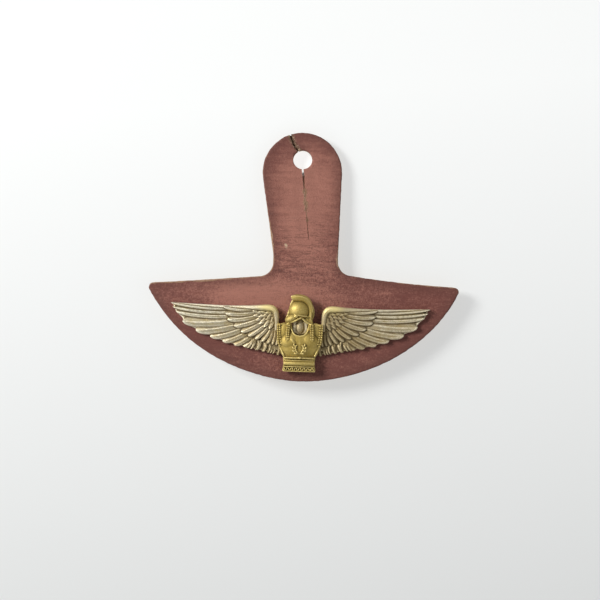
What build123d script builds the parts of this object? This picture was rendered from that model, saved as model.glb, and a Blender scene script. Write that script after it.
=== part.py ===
"""Winged badge on a leather pocket hanger, worn by its button hole with the tongue up.

Frame: the origin is the centre of the button hole, half way through the leather. +X is to the
viewer's right, +Z is up and the front faces -Y. Millimetres. A leather hanger carries a struck
wings plate, a brass helmet and cuirass riveted over its middle, and a brooch pin. The pin's hinge
and catch are soldered to the back of the wings and reach through two slots in the leather, so the
pin closes behind the leather and holds the badge on.
"""

from build123d import *
from math import cos, radians, sin
import os

# Leather hanger
LEATHER_THICKNESS = 2.4
LEATHER_EDGE_ROUND = 0.35
HOLE_RADIUS = 2.2
HOLE_TO_TOP = 6.25
HEAD_RADIUS = 9.2
NECK_HALF_WIDTH = 7.5
NECK_SHIFT = 1.33
NECK_START_DROP = 22.0
NECK_START_ROUND = 15.0
NECK_FILLET = 3.3
CRESCENT_SHIFT = 1.0
CRESCENT_HALF_WIDTH = 36.5
CRESCENT_DEPTH = 22.3
TIP_ROUND = 1.1
# Drops below the hole of each tip and of each corner of the neck, and the sag of the edge between
LEFT_TIP_DROP, LEFT_NECK_DROP, LEFT_SAG = 29.5, 26.95, 0.1
RIGHT_TIP_DROP, RIGHT_NECK_DROP, RIGHT_SAG = 28.65, 26.2, 0.4
# Half the belly's outline, from its lowest point, as shares of the half width and of the depth
BELLY = [(0.0, 1.0), (0.28, 0.937), (0.58, 0.739), (0.78, 0.498), (0.908, 0.26)]
# The slit below the hole lets the button's head through: its end from the hole, and its widths
SLIT_RUN = (1.9, -18.5)
SLIT_TOP_WIDTH = 0.45
SLIT_END_WIDTH = 0.12
# The old tear from the hole to the top edge: the way it goes, its bend and its widths
TEAR_ANGLE = 117.0
TEAR_BEND_OUT = 0.35
TEAR_WIDTHS = (0.30, 0.55, 0.25)

# Badge, in its own plan: its middle lies here from the hole
BADGE_SHIFT = 0.475
BADGE_DROP = 39.85

# Wings plate: relief heights are rises above the plate's own front
WING_SPAN_HALF = 30.0
PLAN_SPAN_HALF = 30.0
PLATE_THICKNESS = 1.2
WEB_RISE = -0.2
DOWN_RISE = -0.05
PRIMARY_RISE = 0.3
COVERT_RISE = 0.65
SCAPULAR_RISE = 0.75
LEADING_BAR_RISE = 1.1
LEADING_BAR_RADIUS = 0.45
FEATHER_TAPER = 0.62
FEATHER_STEP = 0.06
MIDDLE_HALF_WIDTH = 4.6
MIDDLE_TOP = 1.5
MIDDLE_BOTTOM = -5.2
TAB_HALF_WIDTH = 1.5
TAB_TOP = 5.7
NECK_COLUMN_RADIUS = 1.05
NECK_COLUMN_LENGTH = 3.3
NECK_COLUMN_MIDDLE = 1.35
NECK_COLUMN_RISE = 1.7

# Helmet and cuirass: depths are measured forwards from the plate's front
BUST_SEAT_GAP = 0.8
BUST_FLANGE = 0.8
CHEST_DEPTH = 2.5
CHEST_ROUND = 1.0
# The belt's cord and band: the middle of each below the badge's middle, and its width and height
BELT_DEPTH = 2.7
BELT_CORD_DROP, BELT_CORD_SIZE = 6.05, (7.0, 0.4)
BELT_BAND_DROP, BELT_BAND_SIZE = 7.3, (7.2, 1.1)
SKIRT_DEPTH = 2.2
TOOTH_DROP = 8.5
TOOTH_PITCH = 0.62
TOOTH_WIDTH = 0.42
TOOTH_LENGTH = 1.4
TEETH_EACH_SIDE = 5
STRAP_DEPTH = 2.95
STRAP_OUT = 2.95
STRAP_DROP = 0.35
STRAP_SIZE = (1.0, 3.9)
ARMHOLE_OUT = 4.95
BOWL_DEPTH = 2.6
BOWL_MIDDLE = (-0.15, 4.75)
BOWL_RADII = (2.2, 2.0)
CREST_DEPTH = 2.0
CREST_WIDTH = 1.2
VISOR_DEPTH = 2.2
STUD_RADIUS = 0.2
STUD_PITCH = 0.62
STUD_RISE = 0.2
STRAP_STUDS = 6
ARMHOLE_STUDS = 7
TOP_STUD = 1.15
DEVICE_RISE = 0.3
LEAF_DROP = 4.9
LEAF_LEAN = 24.0
LEAF_OUT = 0.2
COLLAR_WIDTH = 3.9
COLLAR_LENGTH = 4.6
COLLAR_BOTTOM = -0.85
COLUMN_GAP = 0.12

# Rivets that hold the bust on the plate
RIVET_RADIUS = 0.6
RIVET_HEAD_WIDENS = 0.4
RIVET_HEAD_DEPTH = 0.4
RIVET_HEAD_TAPER = 40.0
RIVET_REACH = 0.55
RIVET_FIT = 0.02
UPPER_RIVET = (0.0, 4.6)
LOWER_RIVET = (0.0, -3.4)

# Brooch pin and its hinge
PIN_RADIUS = 0.45
PIN_STAND_OFF = 0.5
PIN_HEIGHT = 1.2
HINGE_OUT = 17.5
CATCH_OUT = 17.5
PIN_PAST_CATCH = 5.5
PIN_POINT = 3.6
PIN_POINT_RADIUS = 0.06
EYE_WALL = 0.55
EYE_CHEEK = 0.1
HINGE_RIVET_RADIUS = 0.42
RUNNING_FIT = 0.04
SIDE_PLAY = 0.06
SHEET = 0.45
HINGE_BASE_LENGTH = 4.0
BASE_MARGIN = 0.6
EAR_WALL = 0.7
RIVET_CAP_LIP = 0.3
RIVET_CAP = 0.28

# Catch and its lock drum
PIN_IN_SLOT_GAP = 0.15
SLOT_IN_MOUTH_GAP = 0.05
JOURNAL_WALL = 0.48
DRUM_SHOULDER = 0.42
DRUM_LENGTH = 1.6
CHEEK_WALL = 0.63
CHEEK_LEG_WIDTH = 2.4
LUG_ANGLE = -50.0
LUG_WIDTH = 0.6
LUG_STANDS_OUT = 1.2
LUG_LENGTH = 1.2
SOLDER_FILLET = 0.35
FOOT_CORNER = 0.4
SLOT_MARGIN = 0.5
SLOT_CORNER = 0.6

# Worked out from the sizes above
LEATHER_FRONT = -LEATHER_THICKNESS / 2
LEATHER_BACK = LEATHER_THICKNESS / 2
HEAD_CENTRE = HOLE_TO_TOP - HEAD_RADIUS
NECK_LEFT, NECK_RIGHT = NECK_SHIFT - NECK_HALF_WIDTH, NECK_SHIFT + NECK_HALF_WIDTH
BADGE_X, BADGE_Z = BADGE_SHIFT, -BADGE_DROP
PIN_Y = LEATHER_BACK + PIN_STAND_OFF + PIN_RADIUS
PIN_Z = BADGE_Z + PIN_HEIGHT
HINGE_X = BADGE_X - HINGE_OUT
CATCH_X = BADGE_X + CATCH_OUT
PIN_LENGTH = HINGE_OUT + CATCH_OUT + PIN_PAST_CATCH
EYE_BORE_RADIUS = HINGE_RIVET_RADIUS + RUNNING_FIT
EYE_RADIUS = EYE_BORE_RADIUS + EYE_WALL
EYE_HALF = PIN_RADIUS + EYE_CHEEK
EAR_RADIUS = HINGE_RIVET_RADIUS + EAR_WALL
EAR_INNER = EYE_HALF + SIDE_PLAY
BASE_WIDTH = 2 * (EAR_INNER + SHEET + BASE_MARGIN)
PIN_SLOT_HALF = PIN_RADIUS + PIN_IN_SLOT_GAP
MOUTH_HALF = PIN_SLOT_HALF + SLOT_IN_MOUTH_GAP
JOURNAL_RADIUS = PIN_SLOT_HALF + JOURNAL_WALL
DRUM_RADIUS = JOURNAL_RADIUS + DRUM_SHOULDER
LUG_REACH = DRUM_RADIUS + LUG_STANDS_OUT
CHEEK_RADIUS = JOURNAL_RADIUS + RUNNING_FIT + CHEEK_WALL
CHEEK_INNER = DRUM_LENGTH / 2 + SIDE_PLAY
CATCH_BASE_LENGTH = 2 * (CHEEK_INNER + SHEET)


def from_hole(sketch, back, front):
    """A solid from a sketch drawn from the hole's centre, between two Y planes."""
    return extrude(Plane.XZ.offset(-back) * sketch, amount=back - front)


def on_badge(sketch, low, high):
    """A solid from a sketch drawn from the badge's middle, between two heights off the leather."""
    plane = Plane((BADGE_X, LEATHER_FRONT - low, BADGE_Z), x_dir=(1, 0, 0), z_dir=(0, -1, 0))
    return extrude(plane * sketch, amount=high - low)


def on_plate(sketch, low, high):
    """A solid from a sketch drawn from the badge's middle, between two depths off the plate."""
    return on_badge(sketch, PLATE_THICKNESS + low, PLATE_THICKNESS + high)


def both_wings(shape):
    """A right-hand shape and its mirror image, on the badge's middle plane."""
    return shape + mirror(shape, Plane.YZ.offset(BADGE_X))


# ---------------------------------------------------------------- leather hanger

def tongue_outline():
    """The tongue: a round head whose sides run straight down to the neck."""
    neck_top, neck_foot = -NECK_START_DROP, -max(LEFT_NECK_DROP, RIGHT_NECK_DROP) - 1
    neck_middle = Pos(NECK_SHIFT, (neck_top + neck_foot) / 2)
    neck = neck_middle * Rectangle(2 * NECK_HALF_WIDTH, neck_top - neck_foot)
    head = Pos(0, HEAD_CENTRE) * Circle(HEAD_RADIUS)
    tongue = make_hull([*head.edges(), Line((NECK_LEFT, neck_top), (NECK_RIGHT, neck_top))]) + neck
    bends = [v for v in tongue.vertices() if abs(v.Y - neck_top) < 0.001]
    return fillet(bends, NECK_START_ROUND)


def crescent_outline():
    """The boat-shaped panel, whose top edges rise a little from its tips to the neck."""
    left_tip = (CRESCENT_SHIFT - CRESCENT_HALF_WIDTH, -LEFT_TIP_DROP)
    right_tip = (CRESCENT_SHIFT + CRESCENT_HALF_WIDTH, -RIGHT_TIP_DROP)
    left_neck, right_neck = (NECK_LEFT, -LEFT_NECK_DROP), (NECK_RIGHT, -RIGHT_NECK_DROP)
    shares = [(-x, z) for x, z in reversed(BELLY[1:])] + BELLY
    top = -(LEFT_TIP_DROP + RIGHT_TIP_DROP) / 2
    belly = [(CRESCENT_SHIFT + CRESCENT_HALF_WIDTH * x, top - CRESCENT_DEPTH * z) for x, z in shares]
    panel = make_face([SagittaArc(left_neck, left_tip, LEFT_SAG), Spline(left_tip, *belly, right_tip),
                       SagittaArc(right_tip, right_neck, RIGHT_SAG), Line(right_neck, left_neck)])
    tips = panel.vertices().sort_by(Axis.X)
    return fillet([tips[0], tips[-1]], TIP_ROUND)


def hanger_outline():
    """The tongue and crescent in one face, drawn from the hole, with the neck's corners filled."""
    face = tongue_outline() + crescent_outline()
    places = [(NECK_LEFT, -LEFT_NECK_DROP), (NECK_RIGHT, -RIGHT_NECK_DROP)]
    corners = [face.vertices().sort_by_distance(place)[0] for place in places]
    return fillet(corners, NECK_FILLET)


def tear_outline():
    """The ragged gap from the hole to the top edge of the tongue."""
    way = Vector(cos(radians(TEAR_ANGLE)), sin(radians(TEAR_ANGLE)))
    side = Vector(-way.Y, way.X)
    past_edge = HOLE_TO_TOP + 1
    stations = [(HOLE_RADIUS * 0.8, 0), (HOLE_TO_TOP * 0.65, TEAR_BEND_OUT), (past_edge, 0)]
    centres = [way * run + side * out for run, out in stations]
    left = [c + side * w / 2 for c, w in zip(centres, TEAR_WIDTHS)]
    right = [c - side * w / 2 for c, w in zip(centres, TEAR_WIDTHS)]
    return make_face([Polyline(*left, *reversed(right), left[0])])


def slit_outline():
    """The button slit, a long wedge from inside the hole to its fine end."""
    end_x, end_z = SLIT_RUN
    top = -HOLE_RADIUS * 0.8
    half_top, half_end = SLIT_TOP_WIDTH / 2, SLIT_END_WIDTH / 2
    corners = [(-half_top, top), (half_top, top), (end_x + half_end, end_z), (end_x - half_end, end_z)]
    return make_face([Polyline(*corners, corners[0])])


def fitting_slot(x, base_length):
    """A slot in the leather that clears a soldered fitting by the margin."""
    outline = RectangleRounded(base_length + 2 * SLOT_MARGIN, BASE_WIDTH + 2 * SLOT_MARGIN, SLOT_CORNER)
    return Pos(x, PIN_Z) * outline


def leather_hanger():
    """The hanger: one ply of leather with its hole, slit, tear and the two fitting slots."""
    body = from_hole(hanger_outline(), LEATHER_BACK, LEATHER_FRONT)
    rims = [body.faces().sort_by(Axis.Y)[i].edges() for i in (0, -1)]
    body = fillet(rims[0] + rims[1], LEATHER_EDGE_ROUND)
    cuts = Circle(HOLE_RADIUS) + slit_outline() + tear_outline()
    cuts += fitting_slot(HINGE_X, HINGE_BASE_LENGTH) + fitting_slot(CATCH_X, CATCH_BASE_LENGTH)
    return body - from_hole(cuts, LEATHER_BACK + 1, LEATHER_FRONT - 1)


# ---------------------------------------------------------------- wings plate

def feather(root, tip, width):
    """A feather's plan: a blade that is full in its middle and round at its tip."""
    root, tip = Vector(*root), Vector(*tip)
    end_radius = width / 2 * FEATHER_TAPER
    way = (tip - root).normalized()
    middle = (root + tip) / 2
    rounds = [(root, end_radius), (middle, width / 2), (tip - way * end_radius, end_radius)]
    circles = Sketch() + [Pos(c.X, c.Y) * Circle(r) for c, r in rounds]
    return make_hull(circles.edges())


def between(start, end, share):
    """A point part of the way along a line in plan."""
    return tuple(a + (b - a) * share for a, b in zip(start, end))


def relief(sketch, rise):
    """A raised area of the plate from the leather's front, drawn at the plan's span."""
    return on_badge(scale(sketch, WING_SPAN_HALF / PLAN_SPAN_HALF), 0, PLATE_THICKNESS + rise)


def feather_row(roots, tips, widths, rise):
    """A row of overlapping feathers, each a step lower than the one above it."""
    blades = [feather(r, t, w) for r, t, w in zip(roots, tips, widths)]
    return [relief(b, rise - FEATHER_STEP * i) for i, b in enumerate(blades)]


def primaries():
    """The long outer feathers, from the leading edge down."""
    tips = [(30.0, 5.85), (29.4, 4.95), (28.7, 3.95), (26.9, 1.8), (23.7, -0.25),
            (20.3, -1.65), (17.5, -2.65), (14.9, -3.4), (12.7, -3.75)]
    roots = [between((15.5, 5.0), (9.5, -0.8), i / (len(tips) - 1)) for i in range(len(tips))]
    widths = [0.8, 1.0, 1.3, 2.2, 2.1, 1.8, 1.6, 1.4, 1.2]
    return feather_row(roots, tips, widths, PRIMARY_RISE)


def coverts():
    """The shorter feathers that cover the roots of the primaries."""
    tips = [(17.6, 5.3), (17.2, 3.9), (16.5, 2.5), (15.0, 1.0), (13.4, -0.3), (11.7, -1.2),
            (10.2, -1.9), (8.7, -2.5), (7.3, -2.9)]
    roots = [between((10.5, 4.9), (6.2, 0.2), i / (len(tips) - 1)) for i in range(len(tips))]
    widths = [1.1, 1.5, 1.6, 1.6, 1.4, 1.2, 1.1, 1.0, 1.0]
    return feather_row(roots, tips, widths, COVERT_RISE)


def down_feathers():
    """The short fringe along the bottom, next to the cuirass."""
    count = 10
    tips = [between((12.2, -4.1), (4.6, -5.6), (i / (count - 1)) ** 0.9) for i in range(count)]
    roots = [between((10.4, -1.6), (4.4, -2.8), i / (count - 1)) for i in range(count)]
    blades = [feather(r, t, 1.0) for r, t in zip(roots, tips)]
    return [relief(b, DOWN_RISE - FEATHER_STEP * (i % 2)) for i, b in enumerate(blades)]


def wing_web():
    """The ground of a wing, which joins its feathers and runs under the cuirass."""
    corners = [(0, 1.4), (5.0, 1.5), (5.6, 4.6), (7.2, 5.3), (16.0, 5.2), (29.5, 5.8), (28.6, 4.2),
               (27.2, 2.9), (26.0, 1.2), (23.8, 0.4), (20.3, -1.2), (17.0, -2.5), (12.0, -3.7),
               (6.0, -5.0), (0, -5.0)]
    return make_face([Polyline(*corners, corners[0])])


def scapular_patch():
    """The patch of small shoulder feathers."""
    corners = [(6.0, 1.0), (6.2, 4.6), (7.2, 5.2), (11.6, 5.2), (10.8, 3.0), (9.4, 1.3), (7.4, 0.3)]
    return make_face([Spline(*corners, periodic=True)])


def leading_bar():
    """The raised bar along the shoulder, round the corner and down to the cuirass."""
    path = FilletPolyline((5.5, 2.0), (6.0, 5.1), (12.0, 5.35), radius=1.1)
    return trace(path, 2 * LEADING_BAR_RADIUS)


def neck_column(gap):
    """The plan of the column that fills the collar, or of its pocket where the gap is above 0."""
    length, width = NECK_COLUMN_LENGTH + 2 * gap, 2 * (NECK_COLUMN_RADIUS + gap)
    return Pos(0, NECK_COLUMN_MIDDLE) * SlotOverall(length, width, rotation=90)


def wings_plate():
    """Both wings and the middle that carries the bust: one struck piece with a flat back."""
    wing = relief(wing_web(), WEB_RISE)
    for blade in primaries() + coverts() + down_feathers():
        wing += blade
    wing += relief(scapular_patch(), SCAPULAR_RISE)
    wing += relief(leading_bar(), LEADING_BAR_RISE)
    middle_height = MIDDLE_TOP - MIDDLE_BOTTOM
    middle = Pos(0, (MIDDLE_TOP + MIDDLE_BOTTOM) / 2) * Rectangle(2 * MIDDLE_HALF_WIDTH, middle_height)
    tab_height = TAB_TOP - MIDDLE_TOP
    middle += Pos(0, MIDDLE_TOP + tab_height / 2) * Rectangle(2 * TAB_HALF_WIDTH, tab_height)
    seat_height = 2 * max(TAB_TOP, -MIDDLE_BOTTOM) + 2 * BUST_SEAT_GAP
    seat = Rectangle(2 * (MIDDLE_HALF_WIDTH + BUST_SEAT_GAP), seat_height)
    plate = both_wings(wing) - on_plate(seat, 0, LEADING_BAR_RISE + 1)
    plate += on_badge(middle, 0, PLATE_THICKNESS)
    plate += on_badge(neck_column(0), 0, PLATE_THICKNESS + NECK_COLUMN_RISE)
    for rivet in (UPPER_RIVET, LOWER_RIVET):
        plate -= rivet_body(rivet, RIVET_FIT)
    return plate


# ---------------------------------------------------------------- helmet and cuirass

def cuirass_plan():
    """The cuirass from its shoulders to the foot of its skirt."""
    half = [(2.2, 1.9), (5.0, 1.85), (5.25, 0.2), (5.0, -2.4), (4.6, -3.9), (4.3, -4.9), (3.7, -5.8),
            (3.6, -7.4), (3.85, -8.9), (3.7, -9.2)]
    corners = half + [(-x, z) for x, z in reversed(half)]
    return make_face([Polyline(*corners, corners[0])])


def chest_plan():
    """The domed breastplate, inside the cuirass's edge."""
    half = [(2.2, 1.5), (4.3, 1.4), (4.6, -0.5), (4.6, -2.6), (4.2, -4.2), (3.5, -5.4), (3.3, -6.0)]
    corners = half + [(-x, z) for x, z in reversed(half)]
    return make_face([Polyline(*corners, corners[0])])


def collar_opening():
    """The opening inside the collar, where the plate's neck column shows."""
    middle = COLLAR_BOTTOM + COLLAR_LENGTH / 2
    return Pos(0, middle) * SlotOverall(COLLAR_LENGTH, COLLAR_WIDTH, rotation=90)


def strap_studs():
    """Rows of studs on the shoulder straps and round the arm holes, with the depth they sit on."""
    rows = [(STRAP_OUT, STRAP_STUDS, STRAP_DEPTH), (ARMHOLE_OUT, ARMHOLE_STUDS, BUST_FLANGE)]
    return [(side * out, TOP_STUD - STUD_PITCH * i, seat)
            for side in (-1, 1) for out, count, seat in rows for i in range(count)]


def leaf(x, lean):
    """One laurel leaf of the plain device on the chest."""
    blade = make_hull((Circle(0.16) + Pos(0, 1.9) * Circle(0.12) + Pos(0, 0.9) * Circle(0.45)).edges())
    return Pos(x, -LEAF_DROP) * Rot(0, 0, lean) * blade


def cuirass():
    """Flange, domed chest, straps, belt, toothed skirt and device, as one relief."""
    chest = on_plate(chest_plan(), 0, CHEST_DEPTH)
    front = chest.faces().sort_by(Axis.Y)[0]
    chest = fillet(front.edges(), CHEST_ROUND)
    body = on_plate(cuirass_plan(), 0, BUST_FLANGE) + chest
    for side in (-1, 1):
        strap = Pos(side * STRAP_OUT, -STRAP_DROP) * RectangleRounded(*STRAP_SIZE, STRAP_SIZE[0] * 0.3)
        body += on_plate(strap, 0, STRAP_DEPTH)
    for drop, size in ((BELT_CORD_DROP, BELT_CORD_SIZE), (BELT_BAND_DROP, BELT_BAND_SIZE)):
        body += on_plate(Pos(0, -drop) * RectangleRounded(*size, size[1] * 0.36), 0, BELT_DEPTH)
    tooth = Pos(0, -TOOTH_DROP) * Rectangle(TOOTH_WIDTH, TOOTH_LENGTH)
    places = range(-TEETH_EACH_SIDE, TEETH_EACH_SIDE + 1)
    body += on_plate(Sketch() + [Pos(TOOTH_PITCH * i, 0) * tooth for i in places], 0, SKIRT_DEPTH)
    device = leaf(-LEAF_OUT, LEAF_LEAN) + leaf(LEAF_OUT, -LEAF_LEAN)
    body += on_plate(device, 0, CHEST_DEPTH + DEVICE_RISE)
    for x, z, seat in strap_studs():
        body += on_plate(Pos(x, z) * Circle(STUD_RADIUS), 0, seat + STUD_RISE)
    return body


def crest_plan():
    """The comb that arches from the brow over to the nape."""
    path = Spline((-2.0, 7.55), (0.2, 7.85), (1.9, 6.6), (2.35, 3.2))
    return trace(path, CREST_WIDTH)


def helmet():
    """Bowl, comb, visor and nape of the helmet, facing the viewer's left."""
    bowl = on_plate(Pos(*BOWL_MIDDLE) * Ellipse(*BOWL_RADII), 0, BOWL_DEPTH)
    bowl = fillet(bowl.faces().sort_by(Axis.Y)[0].edges(), CHEST_ROUND)
    visor_corners = [(-2.3, 4.6), (-3.4, 2.3), (-3.05, 1.65), (-1.9, 1.75), (0.2, 3.0)]
    nape_corners = [(1.2, 3.9), (2.7, 3.9), (3.0, 1.8), (2.2, 1.6), (0.6, 3.1)]
    ground_corners = [(-2.2, 4.2), (-1.9, 7.5), (0.2, 8.0), (2.1, 6.6), (2.5, 3.5)]
    body = bowl + on_plate(crest_plan(), 0, CREST_DEPTH)
    body += on_plate(make_face([Polyline(*visor_corners, visor_corners[0])]), 0, VISOR_DEPTH)
    body += on_plate(make_face([Polyline(*nape_corners, nape_corners[0])]), 0, CREST_DEPTH)
    return body + on_plate(make_face([Polyline(*ground_corners, ground_corners[0])]), 0, BUST_FLANGE)


def helmet_and_cuirass():
    """The brass bust: one stamping with an open collar."""
    bust = cuirass() - on_plate(collar_opening(), -1, STRAP_DEPTH + 2) + helmet()
    bust -= on_plate(neck_column(COLUMN_GAP), -1, NECK_COLUMN_RISE + COLUMN_GAP)
    for rivet in (UPPER_RIVET, LOWER_RIVET):
        bust -= rivet_body(rivet, RIVET_FIT)
    return bust


def rivet_body(place, fit):
    """A flush rivet from the plate's back into the bust, or its hole where fit is above 0."""
    x, z = place
    centre = Plane((BADGE_X + x, LEATHER_FRONT, BADGE_Z + z), z_dir=(0, -1, 0))
    shank_length = PLATE_THICKNESS + RIVET_REACH + fit
    shank = extrude(centre * Circle(RIVET_RADIUS + fit), amount=shank_length)
    mouth_radius = RIVET_RADIUS + RIVET_HEAD_WIDENS + fit
    head = extrude(centre * Circle(mouth_radius), amount=RIVET_HEAD_DEPTH, taper=RIVET_HEAD_TAPER)
    return shank + head


# ---------------------------------------------------------------- brooch pin, hinge and catch

def upright(x, y, z, sketch, half):
    """A solid on the vertical axis through (x, y), from z - half to z + half."""
    return extrude(Plane((x, y, z - half)) * sketch, amount=2 * half)


def across(x, sketch, start, end):
    """A solid along X from a sketch whose own X is frame Y and whose own Y is frame Z."""
    plane = Plane((x + start, PIN_Y, PIN_Z), x_dir=(0, 1, 0), z_dir=(1, 0, 0))
    return extrude(plane * sketch, amount=end - start)


def base_plate(x, length):
    """The soldered foot of a fitting, flat on the back of the wings."""
    foot = Pos(x, PIN_Z) * RectangleRounded(length, BASE_WIDTH, FOOT_CORNER)
    return from_hole(foot, LEATHER_FRONT + SHEET, LEATHER_FRONT)


def hinge_bracket():
    """A folded strap with two ears that carry the hinge rivet."""
    body = base_plate(HINGE_X, HINGE_BASE_LENGTH)
    reach = PIN_Y - LEATHER_FRONT
    ear_plan = Circle(EAR_RADIUS) + Pos(0, -reach / 2) * Rectangle(2 * EAR_RADIUS, reach)
    ear_plan -= Circle(HINGE_RIVET_RADIUS + RIVET_FIT)
    for side in (-1, 1):
        middle = PIN_Z + side * (EAR_INNER + SHEET / 2)
        body += upright(HINGE_X, PIN_Y, middle, ear_plan, SHEET / 2)
    return body


def hinge_rivet():
    """The hinge's own rivet, domed at both ends."""
    ears_half = EAR_INNER + SHEET
    cap_middle = PIN_Z + ears_half + RIVET_CAP / 2
    shank = upright(HINGE_X, PIN_Y, PIN_Z, Circle(HINGE_RIVET_RADIUS), ears_half + RIVET_CAP / 2)
    upper = upright(HINGE_X, PIN_Y, cap_middle, Circle(HINGE_RIVET_RADIUS + RIVET_CAP_LIP), RIVET_CAP / 2)
    upper = fillet(upper.edges().sort_by(Axis.Z)[-1], RIVET_CAP * 0.8)
    lower = mirror(upper, Plane.XY.offset(PIN_Z))
    return shank + upper + lower


def pin_stem():
    """The pin: an eye that turns on the rivet, a round stem and a ground point."""
    eye = upright(HINGE_X, PIN_Y, PIN_Z, Circle(EYE_RADIUS), EYE_HALF)
    straight_end = PIN_LENGTH - PIN_POINT
    stem = across(HINGE_X, Circle(PIN_RADIUS), 0, straight_end)
    start = Plane((HINGE_X + straight_end, PIN_Y, PIN_Z), z_dir=(1, 0, 0))
    point = loft([start * Circle(PIN_RADIUS), start.offset(PIN_POINT) * Circle(PIN_POINT_RADIUS)])
    return eye + stem + point - upright(HINGE_X, PIN_Y, PIN_Z, Circle(EYE_BORE_RADIUS), EYE_HALF)


def catch_bracket():
    """Two cheeks on a foot: round seats for the lock drum, with mouths that open backwards."""
    body = base_plate(CATCH_X, CATCH_BASE_LENGTH)
    reach = PIN_Y - LEATHER_FRONT
    cheek = Circle(CHEEK_RADIUS) + Pos(-reach / 2, 0) * Rectangle(reach, CHEEK_LEG_WIDTH)
    cheek -= Circle(JOURNAL_RADIUS + RUNNING_FIT)
    cheek -= Pos(CHEEK_RADIUS, 0) * Rectangle(2 * CHEEK_RADIUS, 2 * MOUTH_HALF)
    body += across(CATCH_X, cheek, CHEEK_INNER, CHEEK_INNER + SHEET)
    return body + across(CATCH_X, cheek, -CHEEK_INNER - SHEET, -CHEEK_INNER)


def catch_lock():
    """The lock drum with its pin slot and thumb lug, stored open so the pin can leave."""
    half = DRUM_LENGTH / 2
    journal_end = CHEEK_INNER + SHEET
    body = across(CATCH_X, Circle(DRUM_RADIUS), -half, half)
    body += across(CATCH_X, Circle(JOURNAL_RADIUS), -journal_end, journal_end)
    lug_run = LUG_REACH - JOURNAL_RADIUS
    lug = Rot(0, 0, LUG_ANGLE) * Pos(JOURNAL_RADIUS + lug_run / 2, 0)
    body += across(CATCH_X, lug * RectangleRounded(lug_run, LUG_WIDTH, 0.2), -LUG_LENGTH / 2, LUG_LENGTH / 2)
    slot = Circle(PIN_SLOT_HALF) + Pos(DRUM_RADIUS, 0) * Rectangle(2 * DRUM_RADIUS, 2 * PIN_SLOT_HALF)
    return body - across(CATCH_X, slot, -journal_end - 1, journal_end + 1)


def solder_fillet(x, length):
    """The sloped bead of solder round a fitting's foot."""
    foot = Pos(x, PIN_Z) * RectangleRounded(length, BASE_WIDTH, FOOT_CORNER)
    grown = 2 * SOLDER_FILLET
    edge = RectangleRounded(length + grown, BASE_WIDTH + grown, FOOT_CORNER + SOLDER_FILLET)
    plane = Plane((x, LEATHER_FRONT, PIN_Z), x_dir=(1, 0, 0), z_dir=(0, 1, 0))
    bead = extrude(plane * edge, amount=SOLDER_FILLET * 0.95, taper=45)
    return bead - from_hole(foot, LEATHER_BACK, LEATHER_FRONT - 1)


PARTS = {
    "leather_hanger": leather_hanger,
    "wings_plate": wings_plate,
    "helmet_and_cuirass": helmet_and_cuirass,
    "upper_bust_rivet": lambda: rivet_body(UPPER_RIVET, 0),
    "lower_bust_rivet": lambda: rivet_body(LOWER_RIVET, 0),
    "hinge_bracket": hinge_bracket,
    "hinge_solder": lambda: solder_fillet(HINGE_X, HINGE_BASE_LENGTH),
    "hinge_rivet": hinge_rivet,
    "pin_stem": pin_stem,
    "catch_bracket": catch_bracket,
    "catch_solder": lambda: solder_fillet(CATCH_X, CATCH_BASE_LENGTH),
    "catch_lock": catch_lock,
}

os.makedirs("parts", exist_ok=True)
for node, make in PARTS.items():
    export_step(make(), f"parts/{node}.step")
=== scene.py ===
"""Looks of a unit badge on its leather button fob.

Silvered wings behind a brass helmet and cuirass stand on a red-brown leather hanger, with a brooch
pin behind. Lengths are millimetres in the row frame, with the middle of the button hole as origin;
each mesh is brought to metres when it is finished.
"""

import logging
import math
import random
from collections.abc import Callable, Iterator, Sequence
from dataclasses import dataclass, field
from enum import Enum

import bmesh
import bpy
import numpy as np
from bmesh.types import BMEdge, BMesh, BMFace, BMVert
from bpy.types import Material, Mesh, Node, NodeSocket, NodeTree, Object
from mathutils import Matrix, Vector, noise
from mathutils.geometry import intersect_point_line
from mathutils.kdtree import KDTree


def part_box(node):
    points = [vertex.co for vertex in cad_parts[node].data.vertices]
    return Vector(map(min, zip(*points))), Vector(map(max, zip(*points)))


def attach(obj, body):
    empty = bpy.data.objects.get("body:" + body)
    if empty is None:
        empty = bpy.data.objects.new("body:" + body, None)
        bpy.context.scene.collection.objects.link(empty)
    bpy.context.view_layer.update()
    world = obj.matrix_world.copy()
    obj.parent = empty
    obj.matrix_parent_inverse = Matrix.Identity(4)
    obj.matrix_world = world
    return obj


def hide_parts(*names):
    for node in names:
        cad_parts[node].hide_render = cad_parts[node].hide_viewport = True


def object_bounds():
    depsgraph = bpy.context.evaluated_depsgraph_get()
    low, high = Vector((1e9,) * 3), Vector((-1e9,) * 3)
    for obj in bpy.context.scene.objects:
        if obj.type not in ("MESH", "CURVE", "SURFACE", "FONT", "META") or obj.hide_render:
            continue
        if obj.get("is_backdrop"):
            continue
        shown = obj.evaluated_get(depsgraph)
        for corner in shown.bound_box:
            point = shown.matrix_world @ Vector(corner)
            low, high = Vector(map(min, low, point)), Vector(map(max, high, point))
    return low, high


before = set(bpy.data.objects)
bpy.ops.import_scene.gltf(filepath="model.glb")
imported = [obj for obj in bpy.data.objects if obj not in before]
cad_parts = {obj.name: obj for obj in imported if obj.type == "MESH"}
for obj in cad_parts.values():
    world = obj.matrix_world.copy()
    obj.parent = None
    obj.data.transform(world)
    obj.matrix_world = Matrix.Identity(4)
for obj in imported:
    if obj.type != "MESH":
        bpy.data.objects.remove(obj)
CAD_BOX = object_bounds()

LOG = logging.getLogger("badge")
MM = 0.001
UPPER_RIVET = 4.6
LOWER_RIVET = 3.4
WELD = 0.002
TOUCH = 1e-5
SPAN_STEPS = 6

Point = tuple[float, float]
Colour = tuple[float, float, float]


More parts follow.
